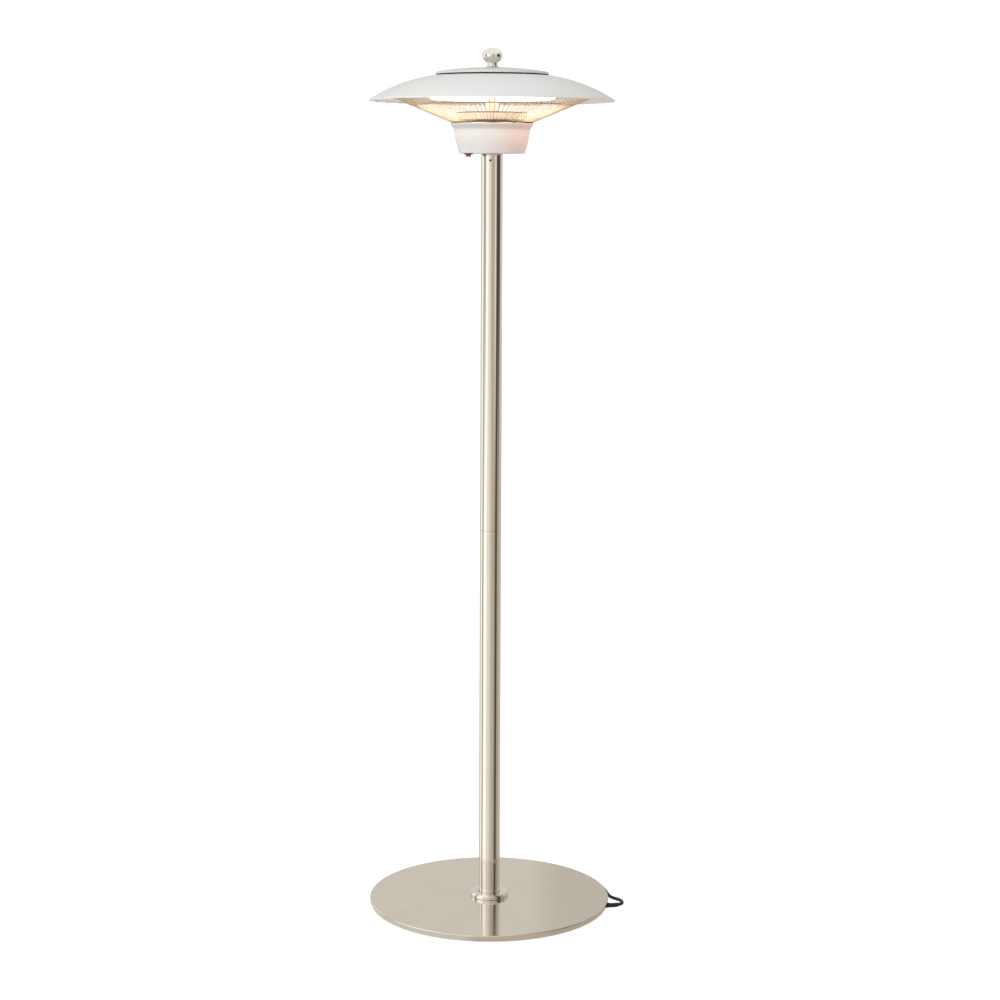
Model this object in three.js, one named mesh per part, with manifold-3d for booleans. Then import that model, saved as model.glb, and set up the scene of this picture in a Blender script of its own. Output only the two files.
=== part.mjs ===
// An electric patio heater on a floor stand: a heavy round base, a steel pole in two lengths,
// and a head with a white cup, a welded wire guard round the heating ring, a spun shade and a
// vent cap held down by a ball knob. Millimetres, +Z up, origin on the floor under the pole.

import * as THREE from 'three';
import { mergeVertices } from 'three/addons/utils/BufferGeometryUtils.js';
import Module from 'manifold-3d';

const wasm = await Module();
wasm.setup();

// ---- Clearances ----
const FIT = 0.3; // between two pieces that seat on each other
const HOLE_PLAY = 0.4; // radial play of a screw or pin in its hole

// ---- Faces round a circle ----
const FACES_WIDE = 44;
const FACES_MIDDLE = 30;
const FACES_POLE = 24;
const FACES_SMALL = 12;
const FACES_SCREW = 8;
const FACES_ROUND_EDGE = 2;

// ---- Base ----
const BASE_RADIUS = 295;
const BASE_HEIGHT = 16; // floor to the top of the cover
const COVER_SHEET = 1.2;
const COVER_EDGE = 2; // radius of the pressed edge
const SKIRT_LIFT = 1; // the skirt's lower edge over the floor
const WEIGHT_THICKNESS = 8;
const WEIGHT_SIDE_GAP = 1.5;
const FOOT_RADIUS = 16;
const FOOT_TAPER = 1.5;
const FOOT_INSET = 45; // of the feet's centres from the base's edge
const FOOT_COUNT = 6;
const CABLE_HOLE = 20; // radius of the hole that the cable comes up through
const FLANGE_RADIUS = 42;
const FLANGE_THICKNESS = 4;
const BOLT_CIRCLE = 34;
const BOLT_COUNT = 3;
const BOLT_RADIUS = 3;
const BOLT_LENGTH = 14; // under the head
const BOLT_HEAD_RADIUS = 5;
const BOLT_HEAD_HEIGHT = 3.6;
const COLLAR_RADIUS = 47;
const COLLAR_HOLE = 26.7;
const COLLAR_HEIGHT = 11;
const COLLAR_WALL = 2.4;
const COLLAR_EDGE = 1;

// ---- Pole ----
const POLE_RADIUS = 26;
const POLE_WALL = 1.5;
const POLE_LOWER_LENGTH = 910;
const POLE_UPPER_LENGTH = 915.7;
const SLEEVE_WALL = 2.2; // wall of the tubes that fit inside the pole
const SOCKET_LENGTH = 110; // of the stub that stands in the pole's foot
const JOINER_LENGTH = 160;
const SPIGOT_LENGTH = 70; // of the head's stub in the top of the pole
const POLE_SCREW_RADIUS = 2.5;
const POLE_SCREW_LENGTH = 3.4;
const SOCKET_SCREW_HEIGHT = 60; // over the pole's foot
const JOINER_SCREW_OFFSET = 31; // above and below the joint
const HEAD_SCREW_DROP = 16; // under the cup
const HEAD_SCREW_ANGLE = -99; // degrees round the pole: just left of the front
const BACK = 90; // degrees round the pole

// ---- Cup ----
const CUP_BOTTOM_RADIUS = 79;
const CUP_BOTTOM_EDGE = 2;
const CUP_SIDE_RADIUS = 91.1; // where the flare starts
const CUP_SIDE_HEIGHT = 57;
const CUP_SIDE_SWELL = 1.65; // how far the side bows out of a straight cone
const CUP_BLEND = 4; // of the side into the flare, above and below where they meet
const CUP_LIP_RADIUS = 99.4;
const CUP_LIP_EDGE = 2; // height of its upright edge
const CUP_HEIGHT = 70.5;
const CUP_WALL = 1.6;
const LID_SHEET = 1.5;
const LID_RING_WALL = 2;
const SPIGOT_FLANGE_RADIUS = 40;
const SPIGOT_FLANGE_THICKNESS = 3;
const SPIGOT_SCREW_CIRCLE = 32;
const SPIGOT_SCREW_COUNT = 3;
const SPIGOT_SCREW_RADIUS = 2;
const SPIGOT_SCREW_HEAD_RADIUS = 4;
const SPIGOT_SCREW_HEAD_HEIGHT = 2.4;

// ---- Switch under the cup ----
const SWITCH_X = -56.6;
const SWITCH_Y = -18;
const BEZEL_WIDTH = 22;
const BEZEL_LENGTH = 30;
const BEZEL_THICKNESS = 2;
const CASE_WIDTH = 19;
const CASE_LENGTH = 27;
const CASE_HEIGHT = 22; // over the bezel
const ROCKER_WIDTH = 13;
const ROCKER_LENGTH = 21.4;
const ROCKER_RISE = 3; // of its back over the pin
const ROCKER_DROP = 6.5; // of its ends under the pin
const ROCKER_DIP = 3.8; // of its middle under the pin
const ROCKER_TILT = 12; // degrees each way from level
const ROCKER_PLAY = 0.4;
const ROCKER_PIN_RADIUS = 1.3;
const ROCKER_PIN_LENGTH = 1.4;
const ROCKER_PIN_DEPTH = 2.5; // of the pin's axis over the bezel's face
const WELL_HEIGHT = 7; // of the rocker's well over the pin
const WELL_END_ROOM = 1.6; // past each end of the level rocker

// ---- Inside the cup ----
const TERMINAL_SIZE = [42, 20, 28];
const TERMINAL_Y = 52;
const TERMINAL_GROOVE = 3;
const TILT_SWITCH_RADIUS = 9;
const TILT_SWITCH_HEIGHT = 24;
const TILT_SWITCH_X = 57;

// ---- Heater ----
const POST_CIRCLE = 60;
const POST_COUNT = 3;
const POST_RADIUS = 4;
const POST_HEIGHT = 6.2;
const SHIELD_RADIUS = 84;
const SHIELD_HEIGHT = 18.6;
const SHIELD_SHEET = 1;
const SHIELD_LIP = 1.5;
const TUBE_RADIUS = 15; // of the column through the middle of the head
const TUBE_WALL = 1.5;
const TUBE_HEIGHT = 96.6;
const ROD_RADIUS = 4;
const BOLT_HEX_RADIUS = 7.5;
const BOLT_HEX_HEIGHT = 6.5;
const REFLECTOR_FLAT = 118; // radius of its flat middle
const REFLECTOR_OVERHANG = 3; // of its edge past the guard's top ring
const REFLECTOR_DROP = 25.5; // of its edge under its middle
const REFLECTOR_SHEET = 1;
const RING_RADIUS = 146; // of the quartz tube's centre line
const RING_TUBE_RADIUS = 6;
const RING_BELOW_REFLECTOR = 34;
const RING_TUBE_FACES = 6;
const RING_STEPS = 36;
const HOLDER_WIDTH = 44;
const HOLDER_DEPTH = 18;
const HOLDER_HEIGHT = 18;
const HOLDER_BORE_DEPTH = 9;
const HOLDER_PLAY = 1.8; // of the tube's ends in the holder
const HOLDER_STEM = 8;
const CLIP_COUNT = 3;
const CLIP_PLAY = 1.1;
const CLIP_WIDTH = 7;
const CLIP_SHEET = 1.5;
const CLIP_STEPS = 8;
const CLIP_MOUTH = 50; // degrees from straight down to each end of the jaw

// ---- Guard ----
const GUARD_WIRES = 104;
const GUARD_WIRE = 1.8; // across
const GUARD_RING_FACES = 40;
const GUARD_FOOT_WIRE = 3; // across
const GUARD_MIDDLE_WIRE = 3; // across
const GUARD_TOP_WIRE = 4; // across
const GUARD_FOOT_RADIUS = 97;
const GUARD_MIDDLE_RADIUS = 190.6;
const GUARD_TOP_INSET = 37; // of its top ring from the shade's rim

// ---- Shade and cap ----
const SHADE_RADIUS = 295;
const SHADE_SHOULDER = 145; // width of the curve from its rim to its flat top
const SHADE_ARC = 380; // radius of that curve
const SHADE_ARC_START = 9.5; // degrees that the curve slopes where it starts
const SHADE_RIM_DROP = 3;
const SHADE_SHEET = 1.5;
const SHADE_ARC_STEPS = 4;
const HUB_SPACER_RADIUS = 10;
const HUB_SPACER_HEIGHT = 12;
const VENT_COUNT = 8;
const VENT_INNER = 40;
const VENT_OUTER = 62;
const VENT_SPREAD = 30; // degrees that one vent takes
const CAP_RADIUS = 136.3;
const CAP_DOME = 820; // radius of its dome
const CAP_EDGE = 6;
const CAP_RIM_HEIGHT = 0.9;
const CAP_SHEET = 1.5;
const CAP_GAP = 3.8; // between its rim and the shade
const CAP_DOME_STEPS = 3;
const CAP_POST_CIRCLE = 92;
const CAP_POST_COUNT = 3;
const CAP_POST_RADIUS = 5;

// ---- Knob ----
const KNOB_FOOT_RADIUS = 15.6;
const KNOB_FOOT_HEIGHT = 2;
const KNOB_NECK_RADIUS = 12.7;
const KNOB_NECK_HEIGHT = 7.2;
const KNOB_BALL_RADIUS = 24.2;
const KNOB_BALL_HALF_HEIGHT = 19;
const KNOB_BALL_CENTRE = 27.6; // over the knob's foot
const KNOB_BALL_START = -61; // degrees, where the ball grows out of the neck
const KNOB_BALL_STEPS = 8;
const KNOB_FACES = 24;
const KNOB_BORE_DEPTH = 20;

// ---- Cord ----
const CORD_RADIUS = 4;
const CORD_FACES = 8;
const CORD_STEP = 24; // along the lead
const EXIT_ANGLE = -10; // degrees from +X where the cord leaves the base
const EXIT_HEIGHT = 7.5;
const CABLE_BEND = 32; // radius of the inner cable's bends
const CABLE_BEND_STEPS = 5;
const CABLE_OFFSET = 16; // of its upright run from the pole's axis
const CABLE_TOP_BELOW_CUP = 12; // where its top bend starts
const GLAND_FLANGE_RADIUS = 7;
const GLAND_FLANGE_THICKNESS = 2;
const GLAND_NECK_RADIUS = 6;
const GLAND_TIP_RADIUS = 5;
const GLAND_FACES = 10;
const GLAND_STEPS = 4;
const GLAND_LENGTH = 27; // of the tapered boot outside the skirt
const GLAND_SHOULDER = 1.5; // of the neck outside the skirt
const CABLE_GROOVE = 5; // half the width of the groove under the weight
const HANK_X = 4.4; // half the distance between the two runs at the tied waist
const HANK_Y = 335; // where the hank's runs start
const HANK_RUN = 124;
const HANK_FOLD = 24; // radius of its end folds
const HANK_WAIST = 16; // length of the tied waist
const HANK_LAYERS = 4;
const HANK_PITCH = 8.6; // from one layer to the next
const HANK_FLOOR = 4.2; // of the lowest loop's centre line over the floor
const HANK_LIFT = 2; // of the waist, where the tie passes under it
const HANK_FACES = 6;
const FOLD_STEPS = 6;
const TIE_WIDTH = 9;
const TIE_THICKNESS = 1.4;
const TIE_PLAY = 0.5;
const TIE_CORNER = 4;
const PLUG_Y = 531;
const PLUG_HEIGHT = 18.8; // of its axis over the floor
const PLUG_RADIUS = 18.4;
const PLUG_NECK_RADIUS = 9;
const PLUG_BOOT_RADIUS = 5.4;
const PLUG_BOOT_LENGTH = 28;
const PLUG_BODY_LENGTH = 34;
const PLUG_SHOULDER = 14; // length of the round shoulder behind its body
const PLUG_FACES = 18;
const PLUG_PIN_RADIUS = 2.4;
const PLUG_PIN_LENGTH = 19;
const PLUG_PIN_SPACING = 19;

// The cord's way over the floor: out of the base's edge, round its back and to the hank's waist.
const LEAD_ROUTE = [
  [291.5, -51.4, 7.5],
  [305.3, -50.8, 7.5],
  [317.6, -44.4, 6.8],
  [326.1, -33.4, 5.4],
  [329.1, -19.9, 4.6],
  [325.6, -5.4, 4.2],
  [315.9, 6, 4.2],
  [306.9, 14.7, 4.2],
  [300.7, 25.5, 4.2],
  [297.7, 36.8, 4.2],
  [288.4, 82.7, 4.2],
  [269.6, 131.5, 4.2],
  [242.7, 176.3, 4.2],
  [208.4, 215.8, 4.2],
  [167.8, 248.7, 4.2],
  [122, 274.1, 4.2],
  [77.7, 289.8, 4.2],
  [32.9, 298.2, 4.2],
  [21.4, 301.8, 4.2],
  [12.3, 309, 4.2],
  [6.3, 319, 4.2],
  [4.4, 330, 4.2],
  [4.4, 345, 4.6],
  [4.4, 360, 6],
  [4.4, 372, 6.2],
  [4.4, 396.7, 6.2],
];

// The cord's end from the hank's waist over its far folds and down to the plug.
const TAIL_ROUTE = [
  [4.4, 397.3, 32],
  [4.4, 425, 31.8],
  [4.4, 455, 31.2],
  [4.4, 483, 30],
  [4.4, 496, 26.2],
  [4.4, 506, 21.8],
  [4.4, 514, 19.3],
  [4.4, 522, 18.8],
  [4.4, 530.7, 18.8],
];

// ---- Sizes and heights that follow ----
const WEIGHT_TOP = BASE_HEIGHT - COVER_SHEET - FIT;
const WEIGHT_BOTTOM = WEIGHT_TOP - WEIGHT_THICKNESS;
const SKIRT_INSIDE = BASE_RADIUS - COVER_SHEET;
const GLAND_INSIDE = flatRadius(SKIRT_INSIDE, FACES_WIDE) - FIT - GLAND_FLANGE_THICKNESS;
const FLANGE_BOTTOM = BASE_HEIGHT + FIT;
const FLANGE_TOP = FLANGE_BOTTOM + FLANGE_THICKNESS;
const POLE_FOOT = FLANGE_TOP + FIT;
const POLE_JOINT = POLE_FOOT + POLE_LOWER_LENGTH + FIT;
const CUP_Z = POLE_JOINT + POLE_UPPER_LENGTH + FIT;
const SLEEVE_RADIUS = POLE_RADIUS - POLE_WALL - FIT;
const SLEEVE_BORE = SLEEVE_RADIUS - SLEEVE_WALL;
const FOOT_CIRCLE = BASE_RADIUS - FOOT_INSET;
const SHADE_FLAT = SHADE_RADIUS - SHADE_SHOULDER;
const GUARD_TOP_RADIUS = SHADE_RADIUS - GUARD_TOP_INSET;
const REFLECTOR_RADIUS = GUARD_TOP_RADIUS + REFLECTOR_OVERHANG;

// From here the heights are over the cup's underside.
const CUP_FLOOR = CUP_WALL;
const SPIGOT_FLANGE_TOP = CUP_FLOOR + FIT + SPIGOT_FLANGE_THICKNESS;
const LID_TOP = CUP_HEIGHT + FIT + LID_SHEET;
const SHIELD_FLOOR = LID_TOP + POST_HEIGHT + 2 * FIT;
const REFLECTOR_MIDDLE = LID_TOP + FIT + TUBE_HEIGHT + FIT;
const REFLECTOR_TOP = REFLECTOR_MIDDLE + REFLECTOR_SHEET;
const SHADE_UNDERSIDE = REFLECTOR_TOP + HUB_SPACER_HEIGHT + 2 * FIT;
const SHADE_TOP = SHADE_UNDERSIDE + SHADE_SHEET;
const CAP_RIM = SHADE_TOP + CAP_GAP;
const CAP_EDGE_CENTRE = CAP_RIM + CAP_RIM_HEIGHT;
const CAP_DOME_RADIUS = CAP_RADIUS - CAP_EDGE;
const CAP_TOP = CAP_EDGE_CENTRE + CAP_EDGE + sagitta(CAP_DOME, CAP_DOME_RADIUS);
const KNOB_FOOT = CAP_TOP + FIT;
const ROD_TOP = KNOB_FOOT + KNOB_BORE_DEPTH - FIT;

// ---- Materials ----
const brushedSteel = material(0xb9b2a6, 0.32, 1);
const polishedSteel = material(0xd8d2c8, 0.14, 1);
const castIron = material(0x3b3b3c, 0.8, 0.6);
const zincSteel = material(0xa9adb0, 0.4, 1);
const whitePaint = material(0xe6e5e2, 0.45, 0);
const aluminium = material(0xe8e4dc, 0.2, 1);
const guardWire = material(0xe9dcc6, 0.25, 1);
const quartz = material(0xffe9c4, 0.1, 0);
const ceramic = material(0xf0ece2, 0.7, 0);
const blackPlastic = material(0x17171a, 0.5, 0);
const redPlastic = material(0xb5301f, 0.35, 0);
const rubber = material(0x141414, 0.85, 0);
const cordRubber = material(0x101011, 0.7, 0);
const pinBrass = material(0xc9b37e, 0.3, 1);
const blackScrew = material(0x101010, 0.5, 0.8);

// ---- Helpers ----
function material(color, roughness, metalness) {
  return new THREE.MeshStandardMaterial({ color, roughness, metalness });
}

function sagitta(radius, reach) {
  return radius - Math.sqrt(radius * radius - reach * reach);
}

function radians(degrees) {
  return THREE.MathUtils.degToRad(degrees);
}

// The distance from the axis to the flats of a faceted circle.
function flatRadius(radius, faces) {
  return radius * Math.cos(Math.PI / faces);
}

// A point at a radius, an angle in degrees and a height.
function polar(radius, angle, z = 0) {
  return new THREE.Vector3(radius * Math.cos(radians(angle)), radius * Math.sin(radians(angle)), z);
}

// An outline of [radius, height] pairs turned about Z. It starts and ends on the axis or is closed here.
function revolve(outline, faces) {
  const points = outline.map(([r, z]) => new THREE.Vector2(r, z));
  const onAxis = points[0].x === 0 && points[points.length - 1].x === 0;
  if (!onAxis) points.push(points[0].clone());
  return new THREE.LatheGeometry(points, faces).rotateX(Math.PI / 2);
}

// A plain tube or, with no bore, a disc.
function tube(outer, bore, bottom, top, faces) {
  return revolve([[bore, bottom], [outer, bottom], [outer, top], [bore, top]], faces);
}

// A screw with its head's underside at 0 and its shank going down from there.
function screw(shankRadius, length, headRadius, headHeight) {
  return revolve(
    [
      [0, -length],
      [shankRadius, -length],
      [shankRadius, 0],
      [headRadius, 0],
      [headRadius, headHeight],
      [0, headHeight],
    ],
    FACES_SCREW,
  );
}

// A line moved sideways: a positive distance moves it to its left.
function offsetLine(line, distance) {
  return line.map(([x, y], i) => {
    const [ax, ay] = line[Math.max(i - 1, 0)];
    const [bx, by] = line[Math.min(i + 1, line.length - 1)];
    const length = Math.hypot(bx - ax, by - ay);
    return [x - ((by - ay) / length) * distance, y + ((bx - ax) / length) * distance];
  });
}

// A sheet of one thickness: the outside line, then its inside on the way back.
function sheetOutline(outside, thickness) {
  return [...outside, ...offsetLine(outside, thickness).reverse()];
}

// Points on an arc in a plane, its ends included.
function arc(cx, cy, radius, from, to, steps) {
  return Array.from({ length: steps + 1 }, (_, i) => {
    const angle = radians(from + ((to - from) * i) / steps);
    return [cx + radius * Math.cos(angle), cy + radius * Math.sin(angle)];
  });
}

function shapeOf(points) {
  return new THREE.Shape(points.map(([x, y]) => new THREE.Vector2(x, y)));
}

function extrude(shape, depth) {
  return new THREE.ExtrudeGeometry(shape, { depth, bevelEnabled: false, curveSegments: FACES_ROUND_EDGE });
}

// A cylinder along +X from the origin.
function rodAlongX(radius, length, faces) {
  return new THREE.CylinderGeometry(radius, radius, length, faces)
    .rotateZ(-Math.PI / 2)
    .translate(length / 2, 0, 0);
}

// A box centred on Z, from one height to another.
function box(width, depth, bottom, top) {
  return new THREE.BoxGeometry(width, depth, top - bottom).translate(0, 0, (top + bottom) / 2);
}

// Takes a geometry's bare triangles, without those that have no area on a lathe's axis.
function toSolid(geometry) {
  const bare = new THREE.BufferGeometry();
  bare.setAttribute('position', geometry.getAttribute('position').clone());
  if (geometry.index) bare.setIndex(geometry.index.clone());
  const merged = mergeVertices(bare, 1e-4);
  const index = [];
  const all = merged.index.array;
  for (let i = 0; i < all.length; i += 3) {
    const [a, b, c] = [all[i], all[i + 1], all[i + 2]];
    if (a !== b && b !== c && c !== a) index.push(a, b, c);
  }
  const vertProperties = new Float32Array(merged.getAttribute('position').array);
  return new wasm.Manifold(new wasm.Mesh({ numProp: 3, vertProperties, triVerts: new Uint32Array(index) }));
}

function toGeometry(solid) {
  const mesh = solid.getMesh();
  const geometry = new THREE.BufferGeometry();
  geometry.setAttribute('position', new THREE.BufferAttribute(mesh.vertProperties, 3));
  geometry.setIndex(new THREE.BufferAttribute(mesh.triVerts, 1));
  return geometry;
}

function cut(geometry, ...tools) {
  return toGeometry(tools.reduce((left, tool) => left.subtract(toSolid(tool)), toSolid(geometry)));
}

function join(...geometries) {
  return toGeometry(wasm.Manifold.union(geometries.map(toSolid)));
}

// A closed round tube through points. Its radius is one number, or one for each point.
function sweep(points, radius, faces) {
  const last = points.length - 1;
  const position = [];
  const side = new THREE.Vector3(0, 0, 1);
  points.forEach((point, i) => {
    const along = points[Math.min(i + 1, last)].clone().sub(points[Math.max(i - 1, 0)]).normalize();
    if (i === 0 && Math.abs(along.z) > 0.9) side.set(1, 0, 0);
    side.addScaledVector(along, -side.dot(along)).normalize();
    const up = along.clone().cross(side);
    const r = Array.isArray(radius) ? radius[i] : radius;
    for (let k = 0; k < faces; k++) {
      const angle = (2 * Math.PI * k) / faces;
      const spoke = side.clone().multiplyScalar(Math.cos(angle)).addScaledVector(up, Math.sin(angle));
      position.push(...point.clone().addScaledVector(spoke, r).toArray());
    }
  });
  const index = [];
  for (let i = 0; i < last; i++) {
    for (let k = 0; k < faces; k++) {
      const next = (k + 1) % faces;
      const [a, b] = [i * faces + k, i * faces + next];
      index.push(a, b, a + faces, b, b + faces, a + faces);
    }
  }
  const end = last * faces;
  for (let k = 1; k < faces - 1; k++) {
    index.push(0, k + 1, k);
    index.push(end, end + k, end + k + 1);
  }
  const geometry = new THREE.BufferGeometry();
  geometry.setAttribute('position', new THREE.Float32BufferAttribute(position, 3));
  geometry.setIndex(index);
  return geometry;
}

// A plain tube along a smooth curve through points.
function tubeAlong(points, radius, faces, steps) {
  const section = shapeOf(arc(0, 0, radius, 0, 360 - 360 / faces, faces - 1));
  const extrudePath = new THREE.CatmullRomCurve3(points, false, 'centripetal');
  return new THREE.ExtrudeGeometry(section, { extrudePath, steps });
}

const parts = new THREE.Group();
const base = new THREE.Group();
const pole = new THREE.Group();
const head = new THREE.Group();
const cord = new THREE.Group();
pole.position.z = POLE_FOOT;
head.position.z = CUP_Z;
parts.add(base, pole, head, cord);

function add(group, name, geometry, look, position = [0, 0, 0], turn = 0) {
  const mesh = new THREE.Mesh(geometry, look);
  mesh.name = name;
  mesh.position.set(...position);
  mesh.rotation.z = radians(turn);
  group.add(mesh);
}

// Copies of one piece round a circle, numbered from 1.
function addRound(group, name, geometry, look, { count, radius, z, first = 0 }) {
  for (let i = 0; i < count; i++) {
    const angle = first + (360 * i) / count;
    add(group, `${name}_${i + 1}`, geometry, look, polar(radius, angle, z).toArray(), angle);
  }
}

// The same places as cylinders to cut holes with.
function roundHoles({ count, radius, first = 0 }, holeRadius, bottom, top) {
  return Array.from({ length: count }, (_, i) => {
    const at = polar(radius, first + (360 * i) / count);
    return tube(holeRadius, 0, bottom, top, FACES_SCREW).translate(at.x, at.y, 0);
  });
}

// ---- Base ----
const boltPlaces = { count: BOLT_COUNT, radius: BOLT_CIRCLE, first: BACK, z: FLANGE_TOP + FIT };

// The cable's way out, as a cutter from one distance to another along the exit's direction.
function exitCutter(halfWidth, from, to) {
  const slot = box(to - from, 2 * halfWidth, -1, EXIT_HEIGHT).translate((from + to) / 2, 0, 0);
  const roof = rodAlongX(halfWidth, to - from, FACES_SMALL).translate(from, 0, EXIT_HEIGHT);
  return join(slot, roof).rotateZ(radians(EXIT_ANGLE));
}

// The stainless pan over the weight: a flat top, a pressed edge and a short skirt.
function baseCover() {
  const outside = [
    [BASE_RADIUS, SKIRT_LIFT],
    ...arc(BASE_RADIUS - COVER_EDGE, BASE_HEIGHT - COVER_EDGE, COVER_EDGE, 0, 90, FACES_ROUND_EDGE),
    [CABLE_HOLE, BASE_HEIGHT],
  ];
  const inside = [
    [CABLE_HOLE, BASE_HEIGHT - COVER_SHEET],
    [SKIRT_INSIDE - COVER_EDGE + COVER_SHEET, BASE_HEIGHT - COVER_SHEET],
    [SKIRT_INSIDE, BASE_HEIGHT - COVER_EDGE],
    [SKIRT_INSIDE, SKIRT_LIFT],
  ];
  const pan = revolve([...outside, ...inside], FACES_WIDE);
  const holes = roundHoles(boltPlaces, BOLT_RADIUS + HOLE_PLAY, WEIGHT_TOP, FLANGE_BOTTOM);
  const notch = exitCutter(GLAND_NECK_RADIUS + 2 * FIT, SKIRT_INSIDE - COVER_EDGE, BASE_RADIUS + COVER_EDGE);
  return cut(pan, notch, ...holes);
}

// The heavy disc, with the bolts' holes and a groove under it that leads the cable to the edge.
function baseWeight() {
  const edge = SKIRT_INSIDE - WEIGHT_SIDE_GAP;
  const disc = tube(edge, CABLE_HOLE, WEIGHT_BOTTOM, WEIGHT_TOP, FACES_MIDDLE);
  const holes = roundHoles(boltPlaces, BOLT_RADIUS + HOLE_PLAY, 0, BASE_HEIGHT);
  const groove = exitCutter(CABLE_GROOVE, 0, BASE_RADIUS);
  const pocket = exitCutter(GLAND_FLANGE_RADIUS + HOLE_PLAY, GLAND_INSIDE - FIT, BASE_RADIUS);
  return cut(disc, groove, pocket, ...holes);
}

function foot() {
  const height = WEIGHT_BOTTOM - FIT;
  return revolve([[0, 0], [FOOT_RADIUS - FOOT_TAPER, 0], [FOOT_RADIUS, height], [0, height]], FACES_SMALL);
}

// The flange bolted to the weight, with the stub that the pole slides over.
function poleSocket() {
  const outline = [
    [SLEEVE_BORE, FLANGE_BOTTOM],
    [FLANGE_RADIUS, FLANGE_BOTTOM],
    [FLANGE_RADIUS, FLANGE_TOP],
    [SLEEVE_RADIUS, FLANGE_TOP],
    [SLEEVE_RADIUS, FLANGE_TOP + SOCKET_LENGTH],
    [SLEEVE_BORE, FLANGE_TOP + SOCKET_LENGTH],
  ];
  const holes = roundHoles(boltPlaces, BOLT_RADIUS + HOLE_PLAY, 0, POLE_FOOT);
  const screwHole = poleScrewHole(POLE_FOOT + SOCKET_SCREW_HEIGHT, BACK);
  return cut(revolve(outline, FACES_POLE), screwHole, ...holes);
}

// The turned ring that hides the flange and its bolts.
function baseCollar() {
  const top = FLANGE_BOTTOM + COLLAR_HEIGHT;
  const corner = arc(COLLAR_RADIUS - COLLAR_EDGE, top - COLLAR_EDGE, COLLAR_EDGE, 0, 90, FACES_ROUND_EDGE);
  const outline = [
    [COLLAR_RADIUS, FLANGE_BOTTOM],
    ...corner,
    [COLLAR_HOLE, top],
    [COLLAR_HOLE, top - COLLAR_WALL],
    [COLLAR_RADIUS - COLLAR_WALL, top - COLLAR_WALL],
    [COLLAR_RADIUS - COLLAR_WALL, FLANGE_BOTTOM],
  ];
  return revolve(outline, FACES_MIDDLE);
}

add(base, 'base_cover', baseCover(), brushedSteel);
add(base, 'base_weight', baseWeight(), castIron);
const footPlaces = { count: FOOT_COUNT, radius: FOOT_CIRCLE, z: 0, first: 180 / FOOT_COUNT };
addRound(base, 'foot', foot(), rubber, footPlaces);
add(base, 'pole_socket', poleSocket(), zincSteel);
const bolt = screw(BOLT_RADIUS, BOLT_LENGTH, BOLT_HEAD_RADIUS, BOLT_HEAD_HEIGHT);
addRound(base, 'base_bolt', bolt, zincSteel, boltPlaces);
add(base, 'base_collar', baseCollar(), polishedSteel);

// ---- Pole ----
// A screw's hole through the pole's wall and the tube inside it, as a cutter at a height.
function poleScrewHole(z, angle) {
  const reach = POLE_RADIUS - SLEEVE_BORE + 2;
  return rodAlongX(POLE_SCREW_RADIUS + HOLE_PLAY, reach, FACES_SCREW)
    .translate(SLEEVE_BORE - 1, 0, z)
    .rotateZ(radians(angle));
}

// A grub screw flush with the pole's outside, with a socket in its end.
function poleScrew() {
  const length = POLE_SCREW_LENGTH;
  const depth = length / 2;
  const socketRadius = POLE_SCREW_RADIUS * 0.6;
  const outline = [
    [0, 0],
    [POLE_SCREW_RADIUS, 0],
    [POLE_SCREW_RADIUS, length],
    [socketRadius, length],
    [socketRadius, length - depth],
    [0, length - depth],
  ];
  return revolve(outline, FACES_SCREW).rotateY(Math.PI / 2).translate(POLE_RADIUS - length, 0, 0);
}

function poleTube(length, ...screws) {
  const holes = screws.map(([z, angle]) => poleScrewHole(z, angle));
  return cut(tube(POLE_RADIUS, POLE_RADIUS - POLE_WALL, 0, length, FACES_POLE), ...holes);
}

const jointHeight = POLE_JOINT - POLE_FOOT;
const headScrewHeight = POLE_UPPER_LENGTH - HEAD_SCREW_DROP;
const lowerJoinerScrew = POLE_LOWER_LENGTH - JOINER_SCREW_OFFSET;
const poleLower = poleTube(POLE_LOWER_LENGTH, [SOCKET_SCREW_HEIGHT, BACK], [lowerJoinerScrew, BACK]);
const poleUpper = poleTube(
  POLE_UPPER_LENGTH,
  [JOINER_SCREW_OFFSET, BACK],
  [headScrewHeight, HEAD_SCREW_ANGLE],
);
const joiner = cut(
  tube(SLEEVE_RADIUS, SLEEVE_BORE, -JOINER_LENGTH / 2, JOINER_LENGTH / 2, FACES_POLE),
  poleScrewHole(JOINER_SCREW_OFFSET, BACK),
  poleScrewHole(-FIT - JOINER_SCREW_OFFSET, BACK),
);
add(pole, 'pole_lower', poleLower, brushedSteel);
add(pole, 'pole_upper', poleUpper, brushedSteel, [0, 0, jointHeight]);
add(pole, 'pole_joiner', joiner, zincSteel, [0, 0, jointHeight]);
add(pole, 'socket_screw', poleScrew(), blackScrew, [0, 0, SOCKET_SCREW_HEIGHT], BACK);
add(pole, 'joiner_screw_lower', poleScrew(), blackScrew, [0, 0, lowerJoinerScrew], BACK);
add(pole, 'joiner_screw_upper', poleScrew(), blackScrew, [0, 0, jointHeight + JOINER_SCREW_OFFSET], BACK);
add(pole, 'head_screw', poleScrew(), blackScrew, [0, 0, jointHeight + headScrewHeight], HEAD_SCREW_ANGLE);

// ---- Cup ----
const spigotScrewPlaces = {
  count: SPIGOT_SCREW_COUNT,
  radius: SPIGOT_SCREW_CIRCLE,
  first: 30,
  z: SPIGOT_FLANGE_TOP + FIT,
};

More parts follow.
